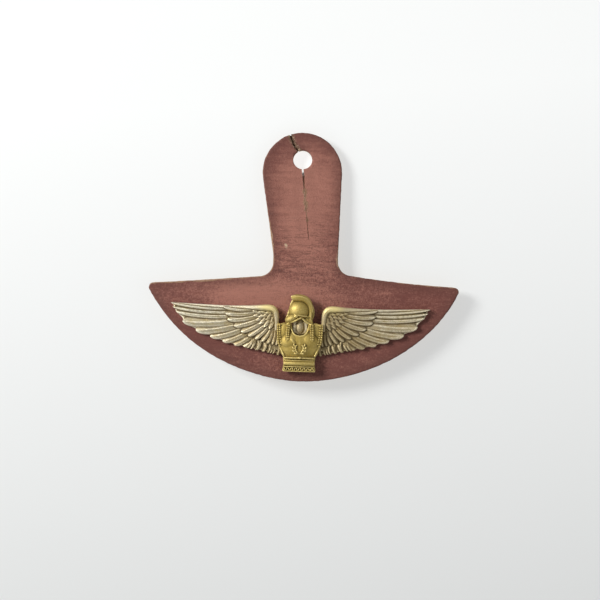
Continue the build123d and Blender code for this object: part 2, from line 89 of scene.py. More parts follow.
class Body(Enum):
    """The body of the frame that the rebuilt pieces ride on."""

    BADGE = "badge_and_hanger"


class Slot(Enum):
    """The material slots that the rebuilt pieces fill."""

    LEATHER = "leather"
    SILVER = "silvered_metal"
    BRASS = "struck_brass"


class Side(Enum):
    """The two wings, as the sign of their X."""

    LEFT = -1
    RIGHT = 1


# ---------------------------------------------------------------- mesh helpers


def smoothstep(low: float, high: float, value: float) -> float:
    """Ease a value from 0 at low to 1 at high.

    Args:
        low: Where the step starts.
        high: Where the step ends.
        value: The value to ease.

    Returns:
        A number from 0 to 1.
    """
    share = min(1.0, max(0.0, (value - low) / (high - low)))
    return share * share * (3 - 2 * share)


def rounded_loop(corners: Sequence[Point]) -> list[Point]:
    """Run a smooth closed line through corner points.

    Args:
        corners: The points that the line passes.

    Returns:
        The points of a closed Catmull-Rom line.
    """
    count = len(corners)
    line: list[Point] = []
    for i in range(count):
        a, b, c, d = (Vector(corners[(i + k) % count]) for k in (-1, 0, 1, 2))
        for step in range(SPAN_STEPS):
            t = step / SPAN_STEPS
            bend = (2 * a - 5 * b + 4 * c - d) * t ** 2 + (3 * b - a - 3 * c + d) * t ** 3
            line.append(tuple(b + ((c - a) * t + bend) / 2))
    return line


def slab(bm: BMesh, outline: Sequence[Point], back: float, front: float) -> list[BMVert]:
    """Add a flat plate with the given plan.

    Args:
        bm: The mesh it is added to.
        outline: The plan, as X and Z.
        back: The Y of its back.
        front: The Y of its front.

    Returns:
        The vertices of its front.
    """
    verts = [bm.verts.new((x, back, z)) for x, z in outline]
    face = bm.faces.new(verts)
    grown = bmesh.ops.extrude_face_region(bm, geom=[face], use_keep_orig=True)["geom"]
    raised = [v for v in grown if isinstance(v, BMVert)]
    bmesh.ops.translate(bm, verts=raised, vec=(0, front - back, 0))
    return raised


def ellipsoid(bm: BMesh, centre: Sequence[float], radii: Sequence[float], lean: float = 0.0) -> None:
    """Add a closed ellipsoid.

    Args:
        bm: The mesh it is added to.
        centre: Its middle.
        radii: Its half sizes along X, Y and Z.
        lean: Its turn about Y, in degrees.
    """
    place = Matrix.Translation(centre) @ Matrix.Rotation(math.radians(lean), 4, "Y")
    shape = place @ Matrix.Diagonal((*radii, 1.0))
    bmesh.ops.create_uvsphere(bm, u_segments=28, v_segments=16, radius=1.0, matrix=shape)


def tube(bm: BMesh, path: Sequence[Sequence[float]], radii: Sequence[float], flat: float = 1.0) -> None:
    """Add a round bar along a smooth path.

    Args:
        bm: The mesh it is added to.
        path: Points of the path, which the bar follows smoothly.
        radii: The bar's radius at each point.
        flat: How deep the bar is along Y, as a share of its width.
    """
    curve = bpy.data.curves.new("bar", "CURVE")
    curve.dimensions = "3D"
    curve.bevel_depth = 1.0
    curve.bevel_resolution = 3
    curve.resolution_u = 8
    curve.use_fill_caps = True
    spline = curve.splines.new("NURBS")
    spline.points.add(len(path) - 1)
    for point, place, radius in zip(spline.points, path, radii):
        point.co = (place[0], place[1] / flat, place[2], 1.0)
        point.radius = radius
    spline.order_u = min(4, len(path))
    spline.use_endpoint_u = True
    holder = bpy.data.objects.new("bar", curve)
    mesh = bpy.data.meshes.new_from_object(holder)
    mesh.transform(Matrix.Diagonal((1.0, flat, 1.0, 1.0)))
    bm.from_mesh(mesh)
    bpy.data.objects.remove(holder)
    bpy.data.curves.remove(curve)
    bpy.data.meshes.remove(mesh)


def copy_of_node(node: str) -> BMesh:
    """Copy a node of the frame as one closed skin in millimetres.

    Args:
        node: The node's name.

    Returns:
        A mesh whose loose triangles are joined.
    """
    bm = bmesh.new()
    bm.from_mesh(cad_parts[node].data)
    bmesh.ops.scale(bm, vec=(1 / MM,) * 3, verts=bm.verts)
    bmesh.ops.remove_doubles(bm, verts=bm.verts, dist=WELD)
    bmesh.ops.recalc_face_normals(bm, faces=bm.faces)
    return bm


def whole(bm: BMesh) -> list[BMVert | BMEdge | BMFace]:
    """List everything in a mesh."""
    return bm.verts[:] + bm.edges[:] + bm.faces[:]


def pour(part: BMesh, bm: BMesh) -> None:
    """Move the shapes of a part, which this frees, into another mesh."""
    mesh = bpy.data.meshes.new("part")
    part.to_mesh(mesh)
    part.free()
    bm.from_mesh(mesh)
    bpy.data.meshes.remove(mesh)


def held(bm: BMesh, name: str = "shape") -> Object:
    """Put a mesh on an object in the scene.

    Args:
        bm: The mesh, which this frees.
        name: The object's name.

    Returns:
        The object.
    """
    mesh = bpy.data.meshes.new(name)
    bm.to_mesh(mesh)
    bm.free()
    holder = bpy.data.objects.new(name, mesh)
    bpy.context.scene.collection.objects.link(holder)
    return holder


def applied(holder: Object, *tools: Object) -> BMesh:
    """Apply the modifiers of a held shape.

    Args:
        holder: The held shape, which this removes.
        tools: The held shapes that its modifiers use, which this removes too.

    Returns:
        The shape that the modifiers make.
    """
    bpy.context.view_layer.update()
    depsgraph = bpy.context.evaluated_depsgraph_get()
    skin = bpy.data.meshes.new_from_object(holder.evaluated_get(depsgraph))
    result = bmesh.new()
    result.from_mesh(skin)
    bpy.data.meshes.remove(skin)
    for done in (holder, *tools):
        mesh = done.data
        bpy.data.objects.remove(done)
        bpy.data.meshes.remove(mesh)
    return result


def fused(bm: BMesh, voxel: float, rounds: int, keep: float = 1.0) -> BMesh:
    """Fuse overlapping closed shapes into one cast skin and soften its edges.

    Args:
        bm: The shapes, which this frees.
        voxel: The grain of the fused skin.
        rounds: How many times it is softened.
        keep: The share of its faces that is kept.

    Returns:
        The fused mesh.
    """
    bmesh.ops.recalc_face_normals(bm, faces=bm.faces)
    holder = held(bm)
    remesh = holder.modifiers.new("fuse", "REMESH")
    remesh.mode = "VOXEL"
    remesh.voxel_size = voxel
    holder.modifiers.new("thin", "DECIMATE").ratio = keep
    skin = applied(holder)
    for _ in range(rounds):
        bmesh.ops.smooth_vert(skin, verts=skin.verts, factor=0.5, use_axis_x=True, use_axis_y=True,
                              use_axis_z=True)
    return skin


def carved(bm: BMesh, cutter: BMesh) -> BMesh:
    """Cut one closed shape out of another.

    Args:
        bm: The shape that is cut, which this frees.
        cutter: What is cut out of it, which this frees too.

    Returns:
        What is left.
    """
    for shape in (bm, cutter):
        bmesh.ops.recalc_face_normals(shape, faces=shape.faces)
    holder, tool = held(bm), held(cutter)
    cut = holder.modifiers.new("cut", "BOOLEAN")
    cut.operation = "DIFFERENCE"
    cut.object = tool
    cut.solver = "EXACT"
    return applied(holder, tool)


def trimmed(bm: BMesh, y: float, way: int) -> None:
    """Trim a closed skin at a plane across Y and close it with one flat face.

    Args:
        bm: The skin.
        y: Where the plane stands.
        way: The side that is cut away, as the sign of its Y.
    """
    bmesh.ops.bisect_plane(bm, geom=whole(bm), dist=TOUCH, plane_co=(0, y, 0), plane_no=(0, way, 0),
                           clear_outer=True)
    bmesh.ops.edgeloop_fill(bm, edges=[e for e in bm.edges if e.is_boundary])
    bmesh.ops.recalc_face_normals(bm, faces=bm.faces)


def finished(name: str, bm: BMesh) -> Object:
    """Bring a mesh to metres and make it a smooth shaded object at the origin.

    Args:
        name: The piece's name.
        bm: Its mesh, which this frees.

    Returns:
        The object, linked to the scene.
    """
    bmesh.ops.scale(bm, vec=(MM,) * 3, verts=bm.verts)
    piece = held(bm, name)
    piece.data.shade_smooth()
    return piece


def tree_of(places: Sequence[Vector]) -> KDTree:
    """Sort places so that the nearest one is found fast."""
    tree = KDTree(len(places))
    for i, place in enumerate(places):
        tree.insert(place, i)
    tree.balance()
    return tree


def points_of(mesh: Mesh) -> np.ndarray:
    """Read a mesh's vertices, in millimetres, as one row each."""
    flat = np.empty(len(mesh.vertices) * 3, np.float32)
    mesh.vertices.foreach_get("co", flat)
    return flat.reshape(-1, 3).astype(float) / MM


def write_attribute(mesh: Mesh, name: str, values: np.ndarray) -> None:
    """Store one number, or one vector, for each vertex.

    Args:
        mesh: The mesh.
        name: The attribute's name.
        values: A row for each vertex.
    """
    kind, key = ("FLOAT", "value") if values.ndim == 1 else ("FLOAT_VECTOR", "vector")
    attribute = mesh.attributes.new(name, kind, "POINT")
    attribute.data.foreach_set(key, values.astype(np.float32).ravel())


def relief_of(mesh: Mesh, rounds: int) -> np.ndarray:
    """Measure how far each vertex stands above its softened surroundings.

    Args:
        mesh: The mesh.
        rounds: How wide the surroundings are, in rounds of averaging.

    Returns:
        Millimetres for each vertex: above 0 on ridges, below 0 in grooves.
    """
    count = len(mesh.vertices)
    points = points_of(mesh)
    ends = np.empty(len(mesh.edges) * 2, np.int32)
    mesh.edges.foreach_get("vertices", ends)
    a, b = ends[0::2], ends[1::2]
    normals = np.empty(count * 3, np.float32)
    mesh.vertices.foreach_get("normal", normals)
    links = np.bincount(ends, minlength=count)[:, None]
    soft = points.copy()
    for _ in range(rounds):
        near = [np.bincount(a, soft[b, k], count) + np.bincount(b, soft[a, k], count) for k in range(3)]
        soft = np.stack(near, axis=1) / links
    return ((points - soft) * normals.reshape(-1, 3)).sum(axis=1)


@dataclass(frozen=True)
class Patch:
    """A soft-edged patch of wear, in plan."""

    x: float
    z: float
    wide: float
    high: float
    share: float = 1.0
    steep: int = 2

    def over(self, x: np.ndarray, z: np.ndarray) -> np.ndarray:
        """Tell how strong the wear is at each place."""
        fall = ((x - self.x) / self.wide) ** 2 + ((z - self.z) / self.high) ** self.steep
        return self.share * np.exp(-fall)


# ---------------------------------------------------------------- finishes


class Net:
    """A node tree, with a short way to add and join its nodes."""

    def __init__(self, tree: NodeTree) -> None:
        """Start from an emptied tree."""
        self.tree = tree
        self.tree.nodes.clear()

    def add(self, kind: str, **settings: object) -> Node:
        """Add a node and set its properties."""
        node = self.tree.nodes.new(kind)
        for name, value in settings.items():
            setattr(node, name, value)
        return node

    def put(self, target: NodeSocket, source: object) -> None:
        """Link a socket, or set it where the source is a plain value."""
        if isinstance(source, NodeSocket):
            self.tree.links.new(source, target)
        elif isinstance(source, tuple) and target.type == "RGBA":
            target.default_value = (*source, 1.0)
        else:
            target.default_value = source

    def math(self, operation: str, a: object, b: object = 0.0) -> NodeSocket:
        """Add a sum, product or other operation on two numbers."""
        node = self.add("ShaderNodeMath", operation=operation)
        self.put(node.inputs[0], a)
        self.put(node.inputs[1], b)
        return node.outputs[0]

    def ramp(self, value: object, low: float, high: float, start: float = 0.0,
             end: float = 1.0) -> NodeSocket:
        """Ease a number from start to end as the value goes from low to high."""
        node = self.add("ShaderNodeMapRange", interpolation_type="SMOOTHSTEP")
        for name, entry in zip(("Value", "From Min", "From Max", "To Min", "To Max"),
                               (value, low, high, start, end)):
            self.put(node.inputs[name], entry)
        return node.outputs["Result"]

    def split(self, vector: NodeSocket) -> list[NodeSocket]:
        """Split a vector into its X, Y and Z."""
        node = self.add("ShaderNodeSeparateXYZ")
        self.put(node.inputs[0], vector)
        return list(node.outputs)


class MaterialNet(Net):
    """The node tree of a material whose patterns are laid out in millimetres."""

    def __init__(self, name: str) -> None:
        """Start an empty material.

        Args:
            name: The material's name.
        """
        self.material: Material = bpy.data.materials.new(name)
        self.material.use_nodes = True
        super().__init__(self.material.node_tree)
        self.shader = self.add("ShaderNodeBsdfPrincipled")
        self.output = self.add("ShaderNodeOutputMaterial")
        self.put(self.output.inputs["Surface"], self.shader.outputs[0])
        self.place: NodeSocket = self.add("ShaderNodeTexCoord").outputs["Object"]
        self.place = self.stretched((1 / MM,) * 3)

    def stretched(self, scale: Sequence[float], turn: float = 0.0) -> NodeSocket:
        """Scale the place along each axis, for a pattern that is longer one way.

        Args:
            scale: The scale along X, Y and Z.
            turn: A turn about Y, in degrees.

        Returns:
            The scaled place.
        """
        mapping = self.add("ShaderNodeMapping")
        mapping.inputs["Scale"].default_value = tuple(scale)
        mapping.inputs["Rotation"].default_value = (0, math.radians(turn), 0)
        self.put(mapping.inputs["Vector"], self.place)
        return mapping.outputs["Vector"]

    def noise(self, scale: float, detail: float = 2.0, roughness: float = 0.5,
              vector: NodeSocket | None = None, distortion: float = 0.0) -> NodeSocket:
        """Add a noise pattern; scale counts its features per millimetre."""
        node = self.add("ShaderNodeTexNoise")
        for name, value in zip(("Vector", "Scale", "Detail", "Roughness", "Distortion"),
                               (vector or self.place, scale, detail, roughness, distortion)):
            self.put(node.inputs[name], value)
        return node.outputs["Fac"]

    def cells(self, scale: float) -> NodeSocket:
        """Add a pattern of distances to the nearest cell's middle."""
        node = self.add("ShaderNodeTexVoronoi")
        self.put(node.inputs["Scale"], scale)
        self.put(node.inputs["Vector"], self.place)
        return node.outputs["Distance"]

    def mark(self, name: str, output: str = "Fac") -> NodeSocket:
        """Read an attribute of the piece."""
        return self.add("ShaderNodeAttribute", attribute_name=name).outputs[output]

    def mix(self, share: object, a: object, b: object, blend: str = "MIX") -> NodeSocket:
        """Mix two colours."""
        node = self.add("ShaderNodeMix", data_type="RGBA", blend_type=blend)
        self.put(node.inputs["Factor"], share)
        self.put(node.inputs[6], a)
        self.put(node.inputs[7], b)
        return node.outputs[2]

    def bump(self, height: object, distance: float, strength: float = 1.0,
             under: NodeSocket | None = None) -> NodeSocket:
        """Add a bump; distance is the height of its pattern in millimetres, below 0 for a dent."""
        node = self.add("ShaderNodeBump", invert=distance < 0)
        self.put(node.inputs["Distance"], abs(distance) * MM)
        self.put(node.inputs["Strength"], strength)
        self.put(node.inputs["Height"], height)
        if under is not None:
            self.put(node.inputs["Normal"], under)
        return node.outputs["Normal"]

    def finish(self, **inputs: object) -> Material:
        """Set the shader's sockets, named with _ for spaces, and return the material."""
        for name, value in inputs.items():
            self.put(self.shader.inputs[name.replace("_", " ")], value)
        return self.material


@dataclass(frozen=True)
class LeatherFinish:
    """Red-brown grain leather, paler in the middle from wear and a painted sheen, with raw edges and a flesh
    side.
    """

    middle: Colour = (0.305, 0.128, 0.094)
    dye: Colour = (0.128, 0.041, 0.032)
    bridge: Colour = (0.50, 0.32, 0.22)
    dark: Colour = (0.080, 0.029, 0.021)
    raw_edge: Colour = (0.52, 0.39, 0.26)
    cut_side: Colour = (0.22, 0.115, 0.07)
    # Dark colour painted into the old tear, standing for the shade inside its gap.
    torn_shade: Colour = (0.085, 0.043, 0.022)
    flesh: Colour = (0.27, 0.17, 0.105)
    # How far the creases are darkened: painted shade in the folds.
    crease_shade: float = 0.48
    pore_dirt: float = 0.12
    scuffs: float = 0.34
    grime: float = 0.55
    roughness: tuple[float, float] = (0.50, 0.66)
    raw_rough: float = 0.92
    sheen: float = 0.27

    def material(self) -> Material:
        """Build the leather; it reads the marks that the hanger was given."""
        net = MaterialNet("red_brown_leather")
        mottle = net.noise(1.6, 3.0, 0.58)
        crease = net.noise(1.15, 4.0, 0.62, net.stretched((0.14, 1.0, 1.0), 7.0), 0.6)
        crease_line = net.ramp(net.math("ABSOLUTE", net.math("SUBTRACT", crease, 0.5)), 0.0, 0.035, 1.0, 0.0)
        folds = net.math("MULTIPLY", crease_line, net.mark("creased"))
        frayed, flesh = net.mark("frayed"), net.mark("flesh")
        reach = net.math("ADD", net.ramp(net.noise(0.6, 3.0), 0.3, 0.7, -0.16, 0.14), frayed)
        raw = net.ramp(net.math("SUBTRACT", net.mark("rim"), reach), -0.10, 0.10, 1.0, 0.0)
        fibre = net.noise(2.4, 5.0, 0.7, net.stretched((1.0, 1.0, 0.45), 20.0))
        nap = net.mix(net.ramp(fibre, 0.3, 0.7), self.raw_edge, self.flesh)
        colour = net.mix(flesh, self.cuts(net, self.grain_side(net, mottle, folds), raw, frayed), nap)
        normal = net.bump(folds, -0.09, 0.5)
        normal = net.bump(net.cells(2.7), 0.07, 0.6, normal)
        normal = net.bump(net.noise(5.0, 4.0, 0.7), 0.055, 0.65, normal)
        normal = net.bump(net.math("MULTIPLY", fibre, net.math("ADD", flesh, raw)), 0.12, 0.7, normal)
        rough = net.ramp(mottle, 0.3, 0.7, *self.roughness)
        bare = net.math("MULTIPLY", net.math("MAXIMUM", flesh, raw), self.raw_rough)
        rough = net.math("MAXIMUM", rough, bare)
        return net.finish(Base_Color=colour, Roughness=rough, Normal=normal, Specular_IOR_Level=self.sheen)

    def grain_side(self, net: MaterialNet, mottle: NodeSocket, folds: NodeSocket) -> NodeSocket:
        """Colour the dyed face, with its middle lightened by wear and a painted sheen, painted shade in its
        creases, pores, scuffs and grime.

        Args:
            net: The leather's nodes.
            mottle: The pattern of its fine patches.
            folds: The pattern of its creases.

        Returns:
            The colour.
        """
        blotch = net.noise(0.11, 4.0, 0.6)
        grain = net.math("ADD", net.ramp(mottle, 0.25, 0.75, -0.24, 0.24),
                         net.ramp(net.noise(3.4, 3.0, 0.6), 0.25, 0.75, -0.26, 0.26))
        streak = net.noise(0.9, 4.0, 0.65, net.stretched((0.2, 1.0, 1.0), 6.0))
        # The rubbed mask lightens the face towards the pale middle colour: part wear, part painted sheen.
        share = net.math("ADD", net.mark("rubbed"), net.ramp(blotch, 0.3, 0.7, -0.12, 0.12))
        share = net.math("ADD", share, net.math("MULTIPLY", grain, net.mark("grainy")))
        share = net.math("ADD", share, net.ramp(streak, 0.3, 0.7, -0.13, 0.13))
        colour = net.mix(net.ramp(share, 0.0, 1.0), self.dye, self.middle)
        # Painted shade: the creases are darkened towards the dark colour.
        colour = net.mix(net.math("MULTIPLY", folds, self.crease_shade), colour, self.dark)
        pores = net.ramp(net.cells(3.6), 0.0, 0.55, self.pore_dirt, 0.0)
        colour = net.mix(pores, colour, self.dark)
        scuff = net.noise(1.5, 5.0, 0.7, net.stretched((0.16, 1.0, 1.0), 24.0))
        colour = net.mix(net.ramp(scuff, 0.52, 0.72, 0.0, self.scuffs), colour, self.middle)
        dirt = net.math("MULTIPLY", net.mark("grimy"), net.ramp(blotch, 0.35, 0.65, 0.45, 1.0))
        return net.mix(net.math("MULTIPLY", dirt, self.grime), colour, self.dark)

    def cuts(self, net: MaterialNet, colour: NodeSocket, raw: NodeSocket, frayed: NodeSocket) -> NodeSocket:
        """Colour the raw sides, the old tear with painted shade in its gap, the closed foot of the slit and
        the nick.

        Args:
            net: The leather's nodes.
            colour: The dyed face.
            raw: Where the raw side shows.
            frayed: Where it is frayed pale.

        Returns:
            The colour.
        """
        side = net.mix(net.ramp(net.noise(2.2, 4.0, 0.7), 0.3, 0.7), self.cut_side, self.raw_edge)
        colour = net.mix(raw, colour, net.mix(frayed, self.cut_side, side))
        # The tear is painted dark, as the shade in its gap, broken by pale raw fibres.
        crack = net.mix(net.ramp(net.noise(1.7, 4.0, 0.7), 0.45, 0.7, 0.0, 0.75), self.torn_shade, self.raw_edge)
        colour = net.mix(net.mark("torn_shade"), colour, crack)
        colour = net.mix(net.mark("bridged"), colour, self.bridge)
        return net.mix(net.mark("nick"), colour, self.raw_edge)


@dataclass(frozen=True)
class StruckMetalFinish:
    """Struck and plated metal, dark in its grooves and worn bright on its ridges."""

    name: str
    ground: Colour
    worn: Colour
    patina: Colour
    rubbed: Colour
    groove: float
    ridge: float
    roughness: float
    pooled: float
    depth: float = 0.9
    metallic: tuple[float, float] = (0.9, 0.55)
    feathered: bool = False
    # Tint multiplied in where the metal is aged, and where the right wing is painted in shade.
    grease_and_shade: Colour = (0.52, 0.465, 0.36)
    grease_rough: float = 0.22
    gilt_ground: Colour = (0.46, 0.37, 0.155)
    gilt_worn: Colour = (0.78, 0.66, 0.32)
    barb_pitch: float = 0.5
    barb_lean: float = 0.9
    barb_depth: float = 0.022

    def material(self) -> Material:
        """Build the metal; it reads the relief, hollow and, for feathers, barb, ageing and gilt marks; the
        ageing mark darkens and dulls the metal, and on the right wing that darkening is painted shade.
        """
        net = MaterialNet(self.name)
        relief = net.mark("relief")
        hollow = net.mark("hollow")
        cloud = net.noise(0.45, 4.0, 0.6)
        speck = net.noise(3.2, 5.0, 0.7)
        wavering = net.math("ADD", relief, net.ramp(speck, 0.3, 0.7, -0.008, 0.008))
        tarnish = net.ramp(wavering, self.groove, 0.002, 1.0, 0.0)
        tarnish = net.math("MAXIMUM", tarnish, net.ramp(hollow, -0.16, -0.01, self.pooled, 0.0))
        polish = net.ramp(wavering, 0.0, self.ridge)
        colour = net.mix(net.ramp(cloud, 0.32, 0.68), self.ground, self.rubbed)
        shine = net.math("MULTIPLY", polish, net.ramp(speck, 0.25, 0.6, 0.55, 1.0))
        colour = net.mix(shine, colour, self.worn)
        normal = net.bump(speck, 0.025, 0.6)
        normal = net.bump(net.noise(12.0, 3.0, 0.6, net.stretched((1.0, 1.0, 0.2), 35.0)), 0.012, 0.5, normal)
        rough = net.ramp(cloud, 0.3, 0.7, self.roughness - 0.05, self.roughness + 0.08)
        if self.feathered:
            aged_and_shaded = net.mark("aged_and_shaded")
            rough = net.math("ADD", rough, net.math("MULTIPLY", aged_and_shaded, self.grease_rough))
            gilt = net.mix(polish, self.gilt_ground, self.gilt_worn)
            colour = net.mix(net.mark("gilt"), net.mix(aged_and_shaded, colour, self.grease_and_shade, "MULTIPLY"), gilt)
            along, off, tone = net.split(net.mark("barb", "Vector"))
            swept = net.math("ADD", along, net.math("MULTIPLY", off, self.barb_lean))
            wave = net.math("SINE", net.math("MULTIPLY", swept, math.tau / self.barb_pitch))
            wave = net.math("MULTIPLY", wave, tone)
            tarnish = net.math("MAXIMUM", tarnish, net.ramp(wave, -1.0, -0.2, 0.22, 0.0))
            normal = net.bump(wave, self.barb_depth, 0.45, normal)
        colour = net.mix(net.math("MULTIPLY", tarnish, self.depth), colour, self.patina)
        rough = net.math("ADD", rough, net.math("MULTIPLY", tarnish, 0.3))
        metal = net.ramp(tarnish, 0.0, 1.0, *self.metallic)
        return net.finish(Base_Color=colour, Metallic=metal, Roughness=rough, Normal=normal)


@dataclass(frozen=True)
class SheetMetalFinish:
    """Bent sheet or drawn wire, scratched in use and spotted with age."""

    name: str
    ground: Colour
    spot: Colour
    spots: float
    roughness: float

    def material(self) -> Material:
        """Build the metal."""
        net = MaterialNet(self.name)
        cloud = net.noise(0.8, 4.0, 0.6)
        drawn = net.noise(5.0, 3.0, 0.6, net.stretched((0.06, 1.0, 1.0)))
        spotted = net.ramp(net.noise(1.9, 5.0, 0.7), 0.5, 0.7, 0.0, self.spots)
        dull = tuple(0.72 * part for part in self.ground)
        colour = net.mix(net.ramp(cloud, 0.3, 0.7), self.ground, dull)
        colour = net.mix(spotted, colour, self.spot)
        normal = net.bump(drawn, 0.015, 0.5)
        normal = net.bump(net.noise(2.5, 4.0, 0.7), 0.02, 0.4, normal)
        rough = net.math("ADD", net.ramp(drawn, 0.3, 0.7, self.roughness - 0.07, self.roughness + 0.07),
                         net.math("MULTIPLY", spotted, 0.35))
        metal = net.ramp(spotted, 0.0, 1.0, 1.0, 0.4)
        return net.finish(Base_Color=colour, Metallic=metal, Roughness=rough, Normal=normal)


@dataclass(frozen=True)
class SolderFinish:
    """Dull grey solder that flowed round a fitting's foot."""

    bright: Colour = (0.46, 0.46, 0.45)
    dull: Colour = (0.22, 0.22, 0.21)

    def material(self) -> Material:
        """Build the solder."""
        net = MaterialNet("soft_solder")
        lumps = net.noise(1.1, 3.0, 0.55)
        colour = net.mix(net.ramp(lumps, 0.35, 0.65), self.dull, self.bright)
        normal = net.bump(lumps, 0.16, 0.8)
        normal = net.bump(net.noise(5.0, 3.0), 0.03, 0.5, normal)
        rough = net.ramp(lumps, 0.3, 0.7, 0.55, 0.38)
        return net.finish(Base_Color=colour, Metallic=0.9, Roughness=rough, Normal=normal)


# ---------------------------------------------------------------- leather hanger


@dataclass
class LeatherHanger:
    """The leather fob: a tongue with a button hole above a crescent that carries the badge."""

    cell: float = 0.5
    front: float = -1.2
    back: float = 1.2
    wave: float = 0.28
    crease_depth: float = 0.055
    ragged: float = 0.07
    tear: tuple[Point, ...] = ((-0.95, 2.15), (-1.45, 2.75), (-1.95, 3.45), (-2.45, 4.2), (-2.75, 4.9),
                               (-2.95, 5.5))
    slit: tuple[Point, Point] = ((0.0, -1.76), (1.9, -18.5))
    tear_half: float = 0.42
    nick: Point = (-3.3, -20.0)
    nick_size: float = 0.3
    flesh_start: float = 0.85
    grime_wide: float = 2.2
    # Patches where the face is lightened: rubbed wear together with a painted sheen.
    sheen_and_wear_tongue: Patch = Patch(1.4, -13.0, 9.0, 17.0, steep=4)
    sheen_and_wear_crescent: Patch = Patch(-6.0, -31.5, 20.0, 5.5, 1.15)
    sheen_and_wear_foot: Patch = Patch(2.0, -47.0, 14.0, 3.0, 0.25)
    creased_neck: Patch = Patch(1.0, -22.0, 16.0, 8.0)
    frays: tuple[Patch, ...] = (
        Patch(-7.5, -19.0, 2.5, 6.0, 0.5), Patch(7.5, -23.0, 2.5, 4.0, 0.5),
        Patch(-25.0, -27.5, 14.0, 3.0, 0.4), Patch(30.0, -28.0, 10.0, 2.0, 0.2),
        Patch(1.0, -10.0, 1.5, 7.0, 0.16), Patch(-2.6, 3.3, 1.3, 1.5, 0.4))
    badge_low: Vector = field(default_factory=Vector)
    badge_high: Vector = field(default_factory=Vector)
    bridge_start: int = 0
    finish: LeatherFinish = field(default_factory=LeatherFinish)

    def build(self) -> Object:
        """Make the hanger from the frame's own outline, cut into a fine net and worked by hand.

        Returns:
            The hanger.
        """
        bm = copy_of_node("leather_hanger")
        self.net(bm)
        self.torn_fibres(bm)
        self.badge_low, self.badge_high = (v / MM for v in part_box("wings_plate"))
        rim = self.rim_distance(bm)
        for vert, reach in zip(bm.verts, rim):
            vert.co += self.worked(vert.co.copy(), vert.normal.copy(), reach)
        bm.normal_update()
        self.crisp_slit(bm)
        piece = finished("leather_fob", bm)
        self.dress(piece, rim)
        return piece

    def net(self, bm: BMesh) -> None:
        """Cut the flat faces into a net of small cells.

        Args:
            bm: The merged copy of the node.
        """
        bmesh.ops.dissolve_limit(bm, angle_limit=math.radians(0.5), verts=bm.verts[:], edges=bm.edges[:])
        low, high = (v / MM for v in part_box("leather_hanger"))
        for axis in (0, 2):
            normal = Vector((0, 0, 0))
            normal[axis] = 1
            cuts = int((high[axis] - low[axis]) / self.cell)
            for i in range(1, cuts + 1):
                place = normal * (low[axis] + i * self.cell)
                bmesh.ops.bisect_plane(bm, geom=whole(bm), dist=0.01, plane_co=place, plane_no=normal)
        bmesh.ops.triangulate(bm, faces=[f for f in bm.faces if len(f.verts) > 4])

    def torn_fibres(self, bm: BMesh) -> None:
        """Bridge the old tear and the foot of the slit with the fibres that still hold inside them; the
        tear's filler is painted dark as the shade of its gap.
        """
        tube(bm, [(x, 0.0, z) for x, z in self.tear], [0.42, 0.38, 0.40, 0.42, 0.44, 0.40], 1.9)
        self.bridge_start = len(bm.verts)
        top, end = (Vector(place) for place in self.slit)
        closed = [top.lerp(end, share) for share in (0.07, 0.16, 0.3, 0.5, 0.75, 1.0)]
        tube(bm, [(x, -0.1, z) for x, z in closed], [0.1, 0.3, 0.4, 0.4, 0.4, 0.3], 2.6)

    def crisp_slit(self, bm: BMesh) -> None:
        """Keep the lips of the slit sharp, where a blade cut them."""
        top, end = (Vector((x, 0, z)) for x, z in self.slit)
        for edge in bm.edges:
            middle = (edge.verts[0].co + edge.verts[1].co) / 2
            middle.y = 0
            near, share = intersect_point_line(middle, top, end)
            if -0.05 < share < 1.05 and (near - middle).length < 0.4:
                edge.smooth = edge.calc_face_angle(0.0) < math.radians(50)

    def rim_distance(self, bm: BMesh) -> list[float]:
        """Measure how far each vertex is from a cut edge, in plan."""
        walls = [v.co for v in bm.verts if self.front + 0.3 < v.co.y < self.back - 0.3
                 and math.hypot(v.co.x - self.tear[3][0], v.co.z - self.tear[3][1]) > 2.2]
        tree = tree_of([Vector((place.x, 0, place.z)) for place in walls])
        return [tree.find((v.co.x, 0, v.co.z))[2] for v in bm.verts]

    def off_badge(self, place: Vector) -> float:
        """Tell how free a point is of the badge and its pin: 0 under them and 1 well away."""
        low, high = self.badge_low, self.badge_high
        past = max(low.x - place.x, place.x - high.x, low.z - place.z, place.z - high.z)
        return smoothstep(0.0, 7.0, past)

    def worked(self, place: Vector, normal: Vector, reach: float) -> Vector:
        """Find how far use has moved a point of the new leather.

        Args:
            place: The point.
            normal: The skin's normal there.
            reach: Its distance from a cut edge.

        Returns:
            The shift.
        """
        flat = Vector((place.x, 0, place.z))
        shift = Vector((0, 1, 0)) * self.wave * self.off_badge(place) * noise.noise(flat * 0.045)
        fold = noise.noise(Vector((place.x * 0.16, 3.0, place.z * 0.95 + place.x * 0.05)))
        depth = self.crease_depth * smoothstep(-2.0, -14.0, place.z) * smoothstep(0.2, 1.6, reach)
        on_face = smoothstep(0.6, 0.95, abs(normal.y))
        shift += normal * on_face * depth * (fold - abs(fold))
        lumps = noise.noise(flat * 0.9) * 0.02 * on_face
        shift += normal * lumps
        cut = Vector((normal.x, 0, normal.z)) * self.ragged * noise.noise(place * 1.1)
        return shift + cut * smoothstep(0.9, 0.2, abs(normal.y))

